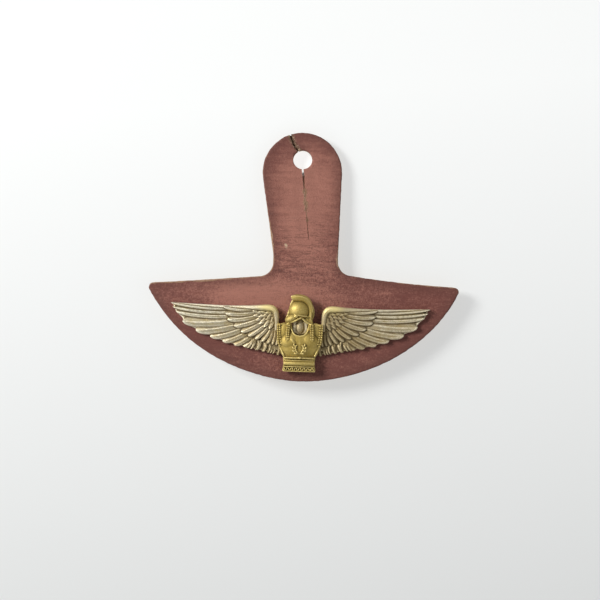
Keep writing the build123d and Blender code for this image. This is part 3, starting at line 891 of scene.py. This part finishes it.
    def dress(self, piece: Object, rim: list[float]) -> None:
        """Give the hanger its masks and its finish.

        Args:
            piece: The hanger.
            rim: Each vertex's distance from a cut edge.
        """
        mesh = piece.data
        x, y, z = points_of(mesh).T
        # The rubbed mask: wear and a painted sheen, paler in the middle of the tongue and the crescent.
        middle = np.maximum(self.sheen_and_wear_tongue.over(x, z), self.sheen_and_wear_crescent.over(x, z))
        write_attribute(mesh, "rubbed", np.clip(0.04 + 0.85 * middle + self.sheen_and_wear_foot.over(x, z), 0, 1))
        write_attribute(mesh, "grainy", np.clip((-15.0 - z) / 9.0, 0.35, 1.0))
        write_attribute(mesh, "bridged", (np.arange(len(z)) >= self.bridge_start).astype(float))
        write_attribute(mesh, "creased", np.clip(0.18 + self.creased_neck.over(x, z), 0, 1))
        nicked = np.hypot(x - self.nick[0], z - self.nick[1])
        write_attribute(mesh, "nick", np.clip(1.6 - nicked / self.nick_size, 0, 1))
        write_attribute(mesh, "rim", np.array(rim))
        write_attribute(mesh, "flesh", np.clip((y - self.flesh_start) / 0.3, 0, 1))
        # Mask of the tear's painted shade, wider towards the top edge.
        away = np.min([np.hypot(x - u, z - v) for u, v in self.tear], axis=0)
        torn_half = self.tear_half + 0.05 * np.clip(z - 3, 0, 3)
        write_attribute(mesh, "torn_shade", np.clip(1.7 - away / torn_half, 0, 1))
        write_attribute(mesh, "frayed", np.clip(sum(fray.over(x, z) for fray in self.frays), 0, 1))
        (top_x, top_z), (end_x, end_z) = self.slit
        along = np.clip((z - top_z) / (end_z - top_z), 0, 1)
        beside = np.hypot(x - top_x - along * (end_x - top_x), z - top_z - along * (end_z - top_z))
        edge = np.clip((2.6 - np.array(rim)) / 2.4, 0, 1)
        write_attribute(mesh, "grimy", edge * (1 - np.exp(-(beside / self.grime_wide) ** 2)))
        mesh.materials.append(self.finish.material())
        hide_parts("leather_hanger")
        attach(piece, Body.BADGE.value)


# ---------------------------------------------------------------- silvered wings


@dataclass(frozen=True)
class Feather:
    """One feather in the badge's plan, for the right wing."""

    root: Point
    tip: Point
    width: float
    edge: float
    crown: float
    bow: float
    blunt: float
    cells: tuple[int, int] = (40, 12)

    def half_width(self, share: float) -> float:
        """Tell the half width part of the way from root to tip."""
        body = 0.78 + 0.22 * math.sin(math.pi * min(1.0, 0.15 + share))
        start = 1 - self.blunt
        past = max(0.0, (share - start) / self.blunt)
        return self.width / 2 * body * math.sqrt(max(0.0, 1 - past ** 2.2))

    def height(self, share: float, across: float) -> float:
        """Tell how far the skin stands out: steep along its lower edge, with a fine shaft.

        Args:
            share: How far along the feather, from 0 to 1.
            across: How far across it, from -1 above to 1 below.

        Returns:
            The Y of the skin.
        """
        peak = 0.35
        side = (peak - across) / (1 + peak) if across < peak else (across - peak) / (1 - peak)
        power = 2.0 if across < peak else 4.0
        swell = 1 - side ** power
        shaft = 0.21 * math.exp(-((across - 0.05) / 0.11) ** 2) * smoothstep(1.0, 0.75, share)
        fade = 0.72 + 0.28 * smoothstep(0.0, 0.5, share)
        return self.edge + (self.crown - self.edge) * (swell * fade + shaft * min(1.0, self.width))

    def point(self, share: float, across: float) -> Point:
        """Tell where a point of the blade lies in plan."""
        root, tip = Vector(self.root), Vector(self.tip)
        way = tip - root
        down = Vector((way.y, -way.x)).normalized()
        sag = 4 * self.bow * way.length * share * (1 - share)
        return tuple(root + way * share + down * (sag + across * self.half_width(share)))


@dataclass
class SilveredWings:
    """Both wings and the middle that carries the bust, struck in one piece with a flat back."""

    back: float = -1.2
    web: float = -2.12
    voxel: float = 0.085
    kept: float = 0.5
    overrun: float = 0.3
    rooting: float = 0.25
    barb_reach: float = 0.4
    column: float = 1.1
    opening: float = 2.2
    aged_inner: float = 0.78
    aged_low: float = 0.35
    # The right wing is painted darker, as shade from the light that falls from the left, with some tarnish.
    shaded_right: float = 0.42
    aged_opening: float = 0.65
    gilt_bar: Patch = Patch(7.0, 5.4, 2.6, 1.1, 1.25)
    middle: Vector = field(default_factory=Vector)
    samples: list[tuple[Vector, Vector]] = field(default_factory=list)
    finish: StruckMetalFinish = StruckMetalFinish(
        "worn_silver", ground=(0.56, 0.49, 0.34), worn=(1.0, 0.93, 0.73), patina=(0.11, 0.077, 0.036),
        rubbed=(0.50, 0.40, 0.21), groove=-0.030, ridge=0.034, roughness=0.40, pooled=0.45, feathered=True)

    def feathers(self) -> Iterator[Feather]:
        """List the feathers of one wing, the lowest lying first."""
        yield from self.down_feathers()
        yield from self.primaries()
        yield from self.coverts()
        yield from self.scapulars()

    def primaries(self) -> Iterator[Feather]:
        """The long outer feathers, from the lowest up to the leading edge."""
        tips = [(30.0, 5.95), (29.55, 5.0), (28.8, 3.95), (27.2, 1.75), (24.1, -0.25), (20.7, -1.65),
                (17.8, -2.7), (15.1, -3.45), (12.9, -3.8)]
        widths = [1.0, 1.25, 1.7, 3.0, 2.9, 2.5, 2.2, 1.9, 1.6]
        last = len(tips) - 1
        for i in reversed(range(len(tips))):
            root = Vector((15.5, 5.0)).lerp(Vector((9.5, -0.8)), i / last)
            crown = -2.80 + 0.045 * i
            yield Feather(tuple(root), tips[i], widths[i], -2.15, crown, bow=0.030 + 0.003 * i, blunt=0.22)

    def coverts(self) -> Iterator[Feather]:
        """The shorter feathers that cover the roots of the primaries."""
        tips = [(17.8, 5.3), (17.4, 3.9), (16.8, 2.45), (15.3, 0.95), (13.6, -0.35), (11.9, -1.3),
                (10.3, -2.0), (8.8, -2.55), (7.4, -2.95), (6.3, -3.15), (5.35, -3.3)]
        roots = [(10.5, 4.9), (9.9, 4.4), (9.3, 3.8), (8.8, 3.2), (8.2, 2.6), (7.7, 2.0), (7.2, 1.4),
                 (6.7, 0.8), (6.3, 0.4), (5.8, 0.3), (5.2, 0.3)]
        widths = [1.35, 1.9, 2.1, 2.1, 1.9, 1.7, 1.45, 1.3, 1.2, 1.15, 1.1]
        for i in reversed(range(len(tips))):
            crown = -3.14 + 0.045 * min(i, 8)
            yield Feather(roots[i], tips[i], widths[i], -2.42, crown, bow=0.035, blunt=0.22, cells=(28, 10))

    def down_feathers(self) -> Iterator[Feather]:
        """The short fringe along the bottom, next to the cuirass."""
        count = 11
        for i in range(count):
            share = i / (count - 1)
            sway = 0.22 * math.sin(2.7 * i)
            tip = Vector((12.1, -4.15)).lerp(Vector((4.7, -5.6)), share ** 0.9) + Vector((sway, 0.3 * sway))
            root = Vector((11.0, -1.9)).lerp(Vector((4.4, -3.0)), share)
            crown = -2.50 + 0.10 * math.sin(1.9 * i)
            yield Feather(tuple(root), tuple(tip), 0.95 + 0.5 * sway, -2.0, crown, bow=0.10 - 0.3 * sway,
                          blunt=0.4, cells=(16, 8))

    def scapulars(self) -> Iterator[Feather]:
        """The small curled feathers of the shoulder patch, in rows from the outside in."""
        centre = Vector((5.9, 4.7))
        for row, (reach, count) in enumerate(((5.1, 6), (4.2, 5), (3.3, 4), (2.4, 3), (1.5, 2))):
            for i in range(count):
                angle = math.radians(6 - 90 * (i + 0.5 + 0.2 * (row % 2)) / count)
                way = Vector((math.cos(angle), math.sin(angle)))
                tip = centre + Vector((way.x * reach, way.y * reach * 0.86))
                root = tip - way * 1.5 + Vector((0.25, 0.35))
                crown = -3.05 - 0.035 * row
                yield Feather(tuple(root), tuple(tip), 1.5, -2.74, crown, bow=0.14, blunt=0.62,
                              cells=(14, 10))

    def blade(self, bm: BMesh, feather: Feather, side: Side, tone: float) -> None:
        """Add a feather as a closed blade that is rooted in the plate.

        Args:
            bm: The wings' shapes.
            feather: The feather's sizes.
            side: The wing it belongs to.
            tone: How clearly its barbs are cut.
        """
        long, wide = feather.cells
        floor = bmesh.ops.create_grid(bm, x_segments=long, y_segments=wide, size=1.0)["verts"]
        faces = list({f for v in floor for f in v.link_faces})
        grown = bmesh.ops.extrude_face_region(bm, geom=faces, use_keep_orig=True)["geom"]
        skin = {v for v in grown if isinstance(v, BMVert)}
        length = (Vector(feather.tip) - Vector(feather.root)).length
        for vert in [*floor, *skin]:
            share, across = (vert.co.x + 1) / 2, vert.co.y
            x, z = feather.point(share, across)
            on_skin = vert in skin
            y = feather.height(share, across) if on_skin else self.back - self.rooting
            vert.co = self.middle + Vector((side.value * x, y, z))
            if on_skin:
                barb = Vector((length * share, abs(across) * feather.half_width(share), tone))
                self.samples.append((vert.co.copy(), barb))

    def plate(self, bm: BMesh, plan: Sequence[Point], front: float) -> None:
        """Add a flat plate that runs past the back, where it is trimmed later."""
        slab(bm, plan, self.back + self.overrun, front)

    def ground(self, bm: BMesh, side: Side) -> None:
        """Add a wing's ground, its leading bar and its shoulder."""
        plan = [(-0.1, 1.4), (5.0, 1.4), (5.6, 4.6), (7.2, 5.2), (16.0, 5.1), (29.5, 5.75), (28.75, 4.0),
                (27.3, 2.6), (26.2, 1.0), (23.6, -0.1), (20.1, -1.6), (17.0, -2.8), (12.2, -3.8),
                (6.0, -5.0), (-0.1, -5.0)]
        self.add(bm, side, lambda part: self.plate(part, plan, self.web))
        bar = [(5.45, -2.4, 0.2), (5.45, -2.65, 2.6), (5.6, -2.9, 5.25), (7.6, -2.95, 5.4), (10.5, -2.8, 5.3),
               (14.5, -2.6, 5.28), (19.0, -2.4, 5.35), (24.5, -2.3, 5.55), (29.6, -2.2, 5.88)]
        radii = [0.5, 0.66, 0.86, 0.78, 0.56, 0.42, 0.32, 0.26, 0.2]
        self.add(bm, side, lambda part: tube(part, bar, radii))
        patch = [(5.7, 1.0), (5.8, 4.6), (7.2, 5.2), (10.6, 5.0), (10.0, 3.0), (8.8, 1.3), (7.2, 0.4)]
        self.add(bm, side, lambda part: self.plate(part, rounded_loop(patch), -2.75))
        armpit = [(4.3, 1.4), (5.6, 1.5), (7.4, 0.6), (6.6, -4.0), (4.3, -4.4)]
        self.add(bm, side, lambda part: self.plate(part, armpit, -2.45))

    def add(self, bm: BMesh, side: Side, make: Callable[[BMesh], object]) -> None:
        """Make a shape of the right wing in the badge's plan and set it on its wing.

        Args:
            bm: The wings' shapes.
            side: The wing it belongs to.
            make: Adds the shape to a mesh.
        """
        part = bmesh.new()
        make(part)
        turned = Matrix.Translation(self.middle) @ Matrix.Diagonal((side.value, 1, 1, 1))
        bmesh.ops.transform(part, matrix=turned, verts=part.verts)
        pour(part, bm)

    def carrier(self, bm: BMesh) -> None:
        """Add the middle under the bust, the tab behind the helmet and the neck column."""
        block = [(-4.6, 1.5), (4.6, 1.5), (4.6, -5.2), (-4.6, -5.2)]
        tab = [(-1.5, 5.7), (1.5, 5.7), (1.5, 0.0), (-1.5, 0.0)]
        for plan in (block, tab):
            self.add(bm, Side.RIGHT, lambda part, plan=plan: self.plate(part, plan, -2.36))
        self.add(bm, Side.RIGHT, lambda part: ellipsoid(part, (0, -3.3, 1.1), (1.0, 0.66, 1.75)))
        window = [(-1.75, 2.4), (1.75, 2.4), (1.75, 0.6), (1.3, -0.3), (0, -0.65), (-1.3, -0.3), (-1.75, 0.6)]
        self.add(bm, Side.RIGHT, lambda part: self.plate(part, window, -3.6))

    def build(self) -> Object:
        """Strike the wings.

        Returns:
            The wings.
        """
        dice = random.Random(7)
        self.middle = badge_middle()
        bm = bmesh.new()
        self.carrier(bm)
        for side in Side:
            self.ground(bm, side)
            for feather in self.feathers():
                self.blade(bm, feather, side, dice.uniform(0.55, 1.0))
        skin = fused(bm, self.voxel, 2, self.kept)
        trimmed(skin, self.back, 1)
        piece = finished("silvered_wings", skin)
        self.dress(piece)
        return piece

    def dress(self, piece: Object) -> None:
        """Give the wings their relief and barb masks and their finish."""
        mesh = piece.data
        write_attribute(mesh, "relief", relief_of(mesh, 10))
        write_attribute(mesh, "hollow", relief_of(mesh, 70))
        tree = tree_of([place for place, _ in self.samples])
        barbs = np.zeros((len(mesh.vertices), 3))
        for i, place in enumerate(points_of(mesh)):
            _, nearest, away = tree.find(place)
            if away < self.barb_reach:
                barbs[i] = self.samples[nearest][1]
        write_attribute(mesh, "barb", barbs)
        x, _, z = (points_of(mesh) - np.array(self.middle)).T
        inner = np.clip((19.0 - np.abs(x)) / 13.0, 0, 1)
        low = np.clip((1.0 - z) / 5.0, 0, 1)
        # Darker and duller towards the middle and the bottom; the right wing's share is painted shade.
        aged_and_shaded = np.clip(self.aged_inner * inner + self.aged_low * low + self.shaded_right * (x > 0), 0, 1)
        aged_and_shaded[np.abs(x) < self.opening] = self.aged_opening
        aged_and_shaded[np.abs(x) < self.column] = 1.0
        write_attribute(mesh, "aged_and_shaded", aged_and_shaded)
        write_attribute(mesh, "gilt", np.clip(self.gilt_bar.over(np.abs(x), z), 0, 1))
        mesh.materials.append(self.finish.material())
        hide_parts("wings_plate")
        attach(piece, Body.BADGE.value)


# ---------------------------------------------------------------- brass bust


def badge_middle() -> Vector:
    """Find the badge's origin: its two rivets stand on its middle line, above and below."""
    ends = [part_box(name) for name in ("upper_bust_rivet", "lower_bust_rivet")]
    places = [(low + high) / 2 / MM for low, high in ends]
    between = (places[0] + places[1]) / 2
    return Vector((between.x, 0, between.z - (UPPER_RIVET - LOWER_RIVET) / 2))


@dataclass
class BrassBust:
    """The empty crested helmet over a cuirass with studded straps, a laurel and a belt."""

    voxel: float = 0.07
    kept: float = 0.8
    ground: float = -3.25
    seat: float = -2.6
    finish: StruckMetalFinish = StruckMetalFinish(
        "struck_brass", ground=(0.46, 0.345, 0.105), worn=(0.66, 0.54, 0.23), patina=(0.12, 0.088, 0.024),
        rubbed=(0.38, 0.28, 0.075), groove=-0.042, ridge=0.05, roughness=0.60, depth=0.85, pooled=0.35)

    def cuirass(self, bm: BMesh) -> None:
        """Add the domed breast, the square shoulders, the straps and the beaded arm holes."""
        ellipsoid(bm, (0, -3.0, -2.7), (4.9, 2.1, 4.2))
        for side in (-1, 1):
            ellipsoid(bm, (side * 1.9, -3.7, -2.1), (2.6, 1.42, 2.1), side * 14)
            shoulder = [(1.9, 1.8), (5.2, 1.8), (5.25, -2.0), (4.6, -3.6), (2.0, -2.0)]
            slab(bm, [(side * x, z) for x, z in shoulder], self.seat, -3.95)
            ellipsoid(bm, (side * 3.6, -3.4, -0.2), (1.7, 0.85, 2.3))
            strap = [(side * 2.55, -4.2, 1.85), (side * 2.75, -4.55, 0.6), (side * 2.9, -4.75, -0.9),
                     (side * 2.8, -4.8, -2.2)]
            tube(bm, strap, [0.56, 0.54, 0.50, 0.44], 0.7)
            hole = [(side * 4.75, -3.8, 1.75), (side * 5.0, -3.95, 0.5), (side * 4.95, -3.95, -1.2),
                    (side * 4.5, -3.8, -3.3)]
            tube(bm, hole, [0.34, 0.36, 0.36, 0.30], 0.8)
            self.studs(bm, side)
            seam = [(side * 4.55, -3.6, -3.2), (side * 4.2, -3.9, -4.3), (side * 3.5, -4.0, -5.6)]
            tube(bm, seam, [0.2] * 3)
        ellipsoid(bm, (-1.5, -4.75, -2.2), (1.2, 0.5, 0.5), 52)

    def studs(self, bm: BMesh, side: int) -> None:
        """Add the studs of one strap and the beads of one arm hole.

        Args:
            bm: The forms they are added to.
            side: The sign of their X.
        """
        for i in range(9):
            z = 1.45 - 0.52 * i
            bend = 0.12 * math.sin(math.pi * i / 8) - 0.045 * i
            for out in (-0.27, 0.25):
                ellipsoid(bm, (side * (4.9 + bend + out), -4.2, z), (0.19, 0.26, 0.2))
            for out in (-0.21, 0.23) if i < 7 else ():
                place = (side * (2.66 + 0.03 * i + out), -4.8 - 0.05 * min(i, 4), z)
                ellipsoid(bm, place, (0.17, 0.3, 0.2))

    def collar(self, bm: BMesh) -> None:
        """Add the rolled rim of the collar."""
        rim = [(-2.1, -4.0, 1.9), (-2.05, -4.3, 0.7), (-1.5, -4.6, -0.5), (-0.7, -4.8, -1.1),
               (0.7, -4.8, -1.1), (1.5, -4.6, -0.5), (2.05, -4.3, 0.7), (2.1, -4.0, 1.9)]
        tube(bm, rim, [0.2] * len(rim), 0.8)

    def helmet(self, bm: BMesh) -> None:
        """Add the helmet's bowl, its thick comb, the pointed visor and the cheek piece."""
        ellipsoid(bm, (-0.35, -3.2, 4.95), (2.4, 2.0, 2.3), -18)
        skull = [(-1.85, 7.3), (0.6, 7.4), (1.9, 6.4), (2.3, 4.9), (2.3, 3.0), (0.4, 3.2), (-1.0, 3.0),
                 (-2.95, 3.6), (-2.8, 4.7), (-2.45, 6.1)]
        slab(bm, rounded_loop(skull), self.seat, -3.7)
        comb = [(-2.0, -3.9, 7.7), (-1.7, -4.0, 7.85), (-0.2, -4.15, 7.95), (1.3, -4.1, 7.6),
                (2.2, -3.9, 6.5), (2.45, -3.7, 5.0), (2.35, -3.6, 3.6), (2.3, -3.5, 2.2)]
        tube(bm, comb, [0.62, 0.76, 0.82, 0.80, 0.62, 0.48, 0.40, 0.34], 0.95)
        cap = [(-2.2, -4.35, 8.1), (-0.2, -4.75, 8.25), (1.5, -4.6, 7.85), (2.6, -4.2, 6.4),
               (2.75, -3.9, 4.6)]
        tube(bm, cap, [0.24, 0.3, 0.28, 0.24, 0.2])
        ellipsoid(bm, (-1.9, -3.9, 3.1), (1.7, 1.3, 0.98), -22)
        bill = [(-2.95, 3.9), (-3.25, 2.7), (-3.2, 1.95), (-1.8, 2.1), (-0.7, 2.55), (-0.5, 3.6)]
        slab(bm, rounded_loop(bill), self.seat, -3.9)
        edge = [(-3.05, -4.0, 2.15), (-2.2, -4.6, 2.15), (-1.3, -4.95, 2.35), (-0.5, -4.95, 2.95),
                (0.3, -4.9, 3.3)]
        tube(bm, edge, [0.16, 0.2, 0.2, 0.2, 0.16])
        brow = [(-1.5, -4.85, 4.0), (-0.6, -5.05, 3.85), (0.5, -5.05, 3.65), (1.6, -4.6, 3.6)]
        tube(bm, brow, [0.1, 0.16, 0.18, 0.14])
        ellipsoid(bm, (-1.0, -4.95, 3.6), (0.5, 0.26, 0.4), -20)
        nape = [(0.3, 3.3), (2.3, 3.6), (2.75, 2.4), (2.6, 1.75), (1.7, 1.8), (1.1, 2.3)]
        slab(bm, rounded_loop(nape), self.seat, -3.8)
        fold = [(0.4, -4.6, 3.15), (1.0, -4.5, 2.6), (1.6, -4.4, 2.1), (2.3, -4.2, 1.85), (2.8, -3.9, 1.8)]
        tube(bm, fold, [0.22, 0.24, 0.24, 0.22, 0.16])

    def laurel(self, bm: BMesh) -> None:
        """Add a pair of laurel sprigs where a numeral would stand."""
        centre, reach = Vector((0, -3.75)), 1.2
        for turn in (-1, 1):
            angles = [math.radians(-84 + 29 * i) for i in range(5)]
            ring = [centre + reach * Vector((math.cos(a), math.sin(a))) for a in angles]
            tube(bm, [(turn * p.x, -5.22, p.y) for p in ring], [0.14, 0.14, 0.13, 0.11, 0.09])
            for i, place in enumerate(ring[1:]):
                for tilt in (-32, 32):
                    lean = -math.degrees(angles[i + 1]) + tilt
                    out = math.copysign(0.24, tilt)
                    spot = centre + (place - centre) * (1 + out / reach)
                    ellipsoid(bm, (turn * spot.x, -5.28, spot.y), (0.2, 0.26, 0.4), turn * lean)

    def belt(self, bm: BMesh) -> None:
        """Add the waist's cords and the skirt's teeth."""
        cords = ((-6.0, 3.4, -4.75, 0.21), (-6.55, 3.35, -4.55, 0.12), (-8.0, 3.5, -4.55, 0.13))
        for z, half, y, thick in cords:
            tube(bm, [(-half, y + 0.5, z), (-half * 0.5, y, z), (half * 0.5, y, z), (half, y + 0.5, z)],
                 [thick] * 4)
        ellipsoid(bm, (0.1, -4.85, -5.95), (0.55, 0.3, 0.26))
        tube(bm, [(-3.45, -3.9, -7.25), (-1.7, -4.5, -7.25), (1.7, -4.5, -7.25), (3.45, -3.9, -7.25)],
             [0.52] * 4)
        ground = [(-3.3, -5.9), (3.3, -5.9), (3.75, -9.1), (-3.75, -9.1)]
        slab(bm, ground, self.seat, -3.9)
        count = 15
        for i in range(count):
            x = (i - (count - 1) / 2) * 0.47
            ellipsoid(bm, (x, -4.05, -8.55), (0.13, 0.32, 0.38), 24 if i % 2 else -24)
        hem = [(-3.7, -3.7, -9.0), (-1.8, -4.05, -9.05), (1.8, -4.05, -9.05), (3.7, -3.7, -9.0)]
        tube(bm, hem, [0.16] * 4)

    def opening(self, middle: Vector) -> BMesh:
        """Make the shape that is cut out of the cuirass inside its collar."""
        half, reach = 1.9, 2.25
        bm = bmesh.new()
        ring = [(half * math.cos(a), half * math.sin(a)) for a in (math.tau * i / 48 for i in range(48))]
        outline = [(x, z + 1.45 + math.copysign(reach - half, z)) for x, z in ring]
        slab(bm, outline, -1.0, -7.0)
        bmesh.ops.translate(bm, vec=middle, verts=bm.verts)
        return bm

    def build(self) -> Object:
        """Strike the cuirass, cut its collar, and set the helmet above it.

        Returns:
            The bust.
        """
        middle = badge_middle()
        bm = self.base()
        self.add(bm, middle, self.cuirass, self.laurel, self.belt)
        bm = carved(fused(bm, self.voxel, 0), self.opening(middle))
        self.add(bm, middle, self.collar, self.helmet)
        skin = fused(bm, self.voxel, 2, self.kept)
        trimmed(skin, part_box("helmet_and_cuirass")[1].y / MM, 1)
        piece = finished("brass_bust", skin)
        self.dress(piece)
        return piece

    def base(self) -> BMesh:
        """Copy the frame's bust and cut it down to a low ground for the rounded forms."""
        bm = copy_of_node("helmet_and_cuirass")
        trimmed(bm, self.ground, -1)
        return bm

    def add(self, bm: BMesh, middle: Vector, *makers: Callable[[BMesh], None]) -> None:
        """Add forms that are drawn in the badge's plan.

        Args:
            bm: The mesh they are added to.
            middle: The badge's origin.
            makers: The methods that draw them.
        """
        forms = bmesh.new()
        for make in makers:
            make(forms)
        bmesh.ops.translate(forms, vec=middle, verts=forms.verts)
        pour(forms, bm)

    def dress(self, piece: Object) -> None:
        """Give the bust its relief masks and its finish."""
        mesh = piece.data
        write_attribute(mesh, "relief", relief_of(mesh, 12))
        write_attribute(mesh, "hollow", relief_of(mesh, 90))
        mesh.materials.append(self.finish.material())
        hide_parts("helmet_and_cuirass")
        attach(piece, Body.BADGE.value)


# ---------------------------------------------------------------- pin and its fittings


@dataclass(frozen=True)
class PinFittings:
    """The brooch pin, its hinge and catch, and the rivets: the frame's own pieces, given finishes."""

    fitting: SheetMetalFinish = SheetMetalFinish(
        "brass_sheet", ground=(0.62, 0.48, 0.24), spot=(0.10, 0.07, 0.03), spots=0.8, roughness=0.36)
    steel: SheetMetalFinish = SheetMetalFinish(
        "nickelled_steel", ground=(0.66, 0.64, 0.60), spot=(0.14, 0.07, 0.035), spots=0.55, roughness=0.26)
    rivet: SheetMetalFinish = SheetMetalFinish(
        "rivet_brass", ground=(0.52, 0.38, 0.14), spot=(0.08, 0.05, 0.02), spots=0.6, roughness=0.4)
    solder: SolderFinish = SolderFinish()

    def dress(self) -> None:
        """Dress every piece that keeps the frame's own shape."""
        finishes = {
            self.fitting.material(): ("hinge_bracket", "catch_bracket", "catch_lock"),
            self.steel.material(): ("pin_stem", "hinge_rivet"),
            self.rivet.material(): ("upper_bust_rivet", "lower_bust_rivet"),
            self.solder.material(): ("hinge_solder", "catch_solder"),
        }
        for material, nodes in finishes.items():
            for name in nodes:
                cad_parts[name].data.materials[0] = material
                LOG.info("%s dressed in %s", name, material.name)


# ---------------------------------------------------------------- studio


@dataclass(frozen=True)
class Lamp:
    """A soft square lamp that points at the badge; its place and size are in millimetres."""

    name: str
    place: tuple[float, float, float]
    watts: float
    size: float
    colour: Colour = (1.0, 1.0, 1.0)

    def hang(self) -> None:
        """Hang the lamp."""
        light = bpy.data.lights.new(self.name, "AREA")
        light.energy = self.watts
        light.size = self.size * MM
        light.color = self.colour
        lamp = bpy.data.objects.new(self.name, light)
        bpy.context.scene.collection.objects.link(lamp)
        lamp.location = Vector(self.place) * MM
        target = (CAD_BOX[0] + CAD_BOX[1]) / 2
        lamp.rotation_euler = (target - lamp.location).to_track_quat("-Z", "Y").to_euler()


@dataclass(frozen=True)
class Studio:
    """A sheet of white paper behind the fob, soft light from the upper left, and the camera."""

    paper_gap: float = 0.25
    paper_size: float = 1400.0
    paper_tilt: float = 3.3
    paper: Colour = (0.30, 0.31, 0.31)
    paper_glow: float = 0.515
    glow_across: float = -0.0002
    glow_up: float = 0.0018
    glow_middle: float = -32.5
    glow_limits: tuple[float, float] = (0.3, 0.6)
    hole_glow: float = 0.24
    room: Colour = (0.97, 0.985, 1.0)
    room_ahead: float = 0.22
    room_around: float = 0.60
    room_slope: float = -0.3
    room_seen: float = 0.84
    lamps: tuple[Lamp, ...] = (
        Lamp("window", (-520, -520, 210), 6.4, 240, (1.0, 0.99, 0.97)),
        Lamp("fill", (500, -700, -250), 0.8, 600),
        Lamp("behind", (300, 600, 250), 3.0, 500))
    across: float = 138.9
    aim: Point = (-0.785, -9.935)
    lens: float = 100.0
    sensor: float = 36.0
    roll: float = 1.65

    def sheet(self) -> None:
        """Lay the paper just behind the fob; it is clear from behind."""
        bm = bmesh.new()
        turn = Matrix.Rotation(math.radians(90 + self.paper_tilt), 4, "X")
        low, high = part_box("catch_lock")
        place = Matrix.Translation((high.x / MM, high.y / MM + self.paper_gap, low.z / MM)) @ turn
        bmesh.ops.create_grid(bm, x_segments=1, y_segments=1, size=self.paper_size / 2, matrix=place)
        sheet = finished("paper", bm)
        net = MaterialNet("white_paper")
        mottle = net.noise(0.5, 4.0, 0.6)
        x, _, z = net.split(net.place)
        across = net.math("MULTIPLY", x, self.glow_across)
        up = net.math("MULTIPLY", net.math("SUBTRACT", z, self.glow_middle), self.glow_up)
        glow = net.math("ADD", self.paper_glow, net.math("ADD", across, up))
        dimmest, brightest = self.glow_limits
        glow = net.math("MAXIMUM", net.math("MINIMUM", glow, brightest), dimmest)
        away = net.add("ShaderNodeVectorMath", operation="LENGTH")
        net.put(away.inputs[0], net.stretched((1.0, 0.0, 1.0)))
        glow = net.math("ADD", glow, net.ramp(away.outputs["Value"], 2.2, 3.2, self.hole_glow, 0.0))
        net.finish(Base_Color=self.paper, Roughness=0.9, Specular_IOR_Level=0.1, Emission_Strength=glow,
                   Emission_Color=(1.0, 1.0, 0.99), Normal=net.bump(mottle, 0.02, 0.3))
        either = net.add("ShaderNodeMixShader")
        net.put(either.inputs[0], net.add("ShaderNodeNewGeometry").outputs["Backfacing"])
        net.put(either.inputs[1], net.shader.outputs[0])
        net.put(either.inputs[2], net.add("ShaderNodeBsdfTransparent").outputs[0])
        net.put(net.output.inputs["Surface"], either.outputs[0])
        sheet.data.materials.append(net.material)
        sheet.visible_shadow = False
        sheet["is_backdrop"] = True

    def world(self) -> None:
        """Surround the scene with pale light, dimmer straight ahead of the fob and on its right."""
        world = bpy.data.worlds.new("pale_room")
        bpy.context.scene.world = world
        world.use_nodes = True
        net = Net(world.node_tree)
        x, y, _ = net.split(net.add("ShaderNodeTexCoord").outputs["Generated"])
        depth = net.ramp(y, -1.0, -0.55, self.room_ahead, self.room_around)
        slope = net.math("ADD", net.math("MULTIPLY", x, self.room_slope), 1.0)
        either = net.add("ShaderNodeMix")
        net.put(either.inputs["Factor"], net.add("ShaderNodeLightPath").outputs["Is Camera Ray"])
        net.put(either.inputs["A"], net.math("MULTIPLY", depth, slope))
        net.put(either.inputs["B"], self.room_seen)
        background = net.add("ShaderNodeBackground")
        net.put(background.inputs["Color"], self.room)
        net.put(background.inputs["Strength"], either.outputs["Result"])
        net.put(net.add("ShaderNodeOutputWorld").inputs[0], background.outputs[0])

    def camera(self) -> None:
        """Stand the camera square to the fob, a little rolled."""
        camera = bpy.data.cameras.new("camera")
        camera.lens = self.lens
        camera.sensor_width = self.sensor
        camera.clip_start = 0.01
        holder = bpy.data.objects.new("camera", camera)
        bpy.context.scene.collection.objects.link(holder)
        centre = (CAD_BOX[0] + CAD_BOX[1]) / 2
        distance = self.across / self.sensor * self.lens
        face = LeatherHanger.front
        holder.location = (centre.x + self.aim[0] * MM, (face - distance) * MM, centre.z + self.aim[1] * MM)
        look = Matrix.Rotation(math.radians(90), 4, "X") @ Matrix.Rotation(math.radians(self.roll), 4, "Z")
        holder.rotation_euler = look.to_euler()
        bpy.context.scene.camera = holder

    def build(self) -> None:
        """Set up the paper, the lamps, the world and the camera."""
        self.sheet()
        for lamp in self.lamps:
            lamp.hang()
        self.world()
        self.camera()
        bpy.context.scene.view_settings.view_transform = "Standard"


def write_sizes() -> None:
    """Gather the frame's box and the finished model's box as plain lists, which are not kept."""
    boxes = {"cad": CAD_BOX, "visual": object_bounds()}
    {name: [list(corner) for corner in box] for name, box in boxes.items()}


def main() -> None:
    """Build every piece in order and report each one."""
    logging.basicConfig(level=logging.INFO, format="%(name)s: %(message)s")
    Studio().build()
    for maker in (LeatherHanger(), SilveredWings(), BrassBust()):
        piece = maker.build()
        mesh = piece.data
        mesh.calc_loop_triangles()
        LOG.info("%s: %d triangles", piece.name, len(mesh.loop_triangles))
    PinFittings().dress()
    write_sizes()


if __name__ == "__main__":
    main()
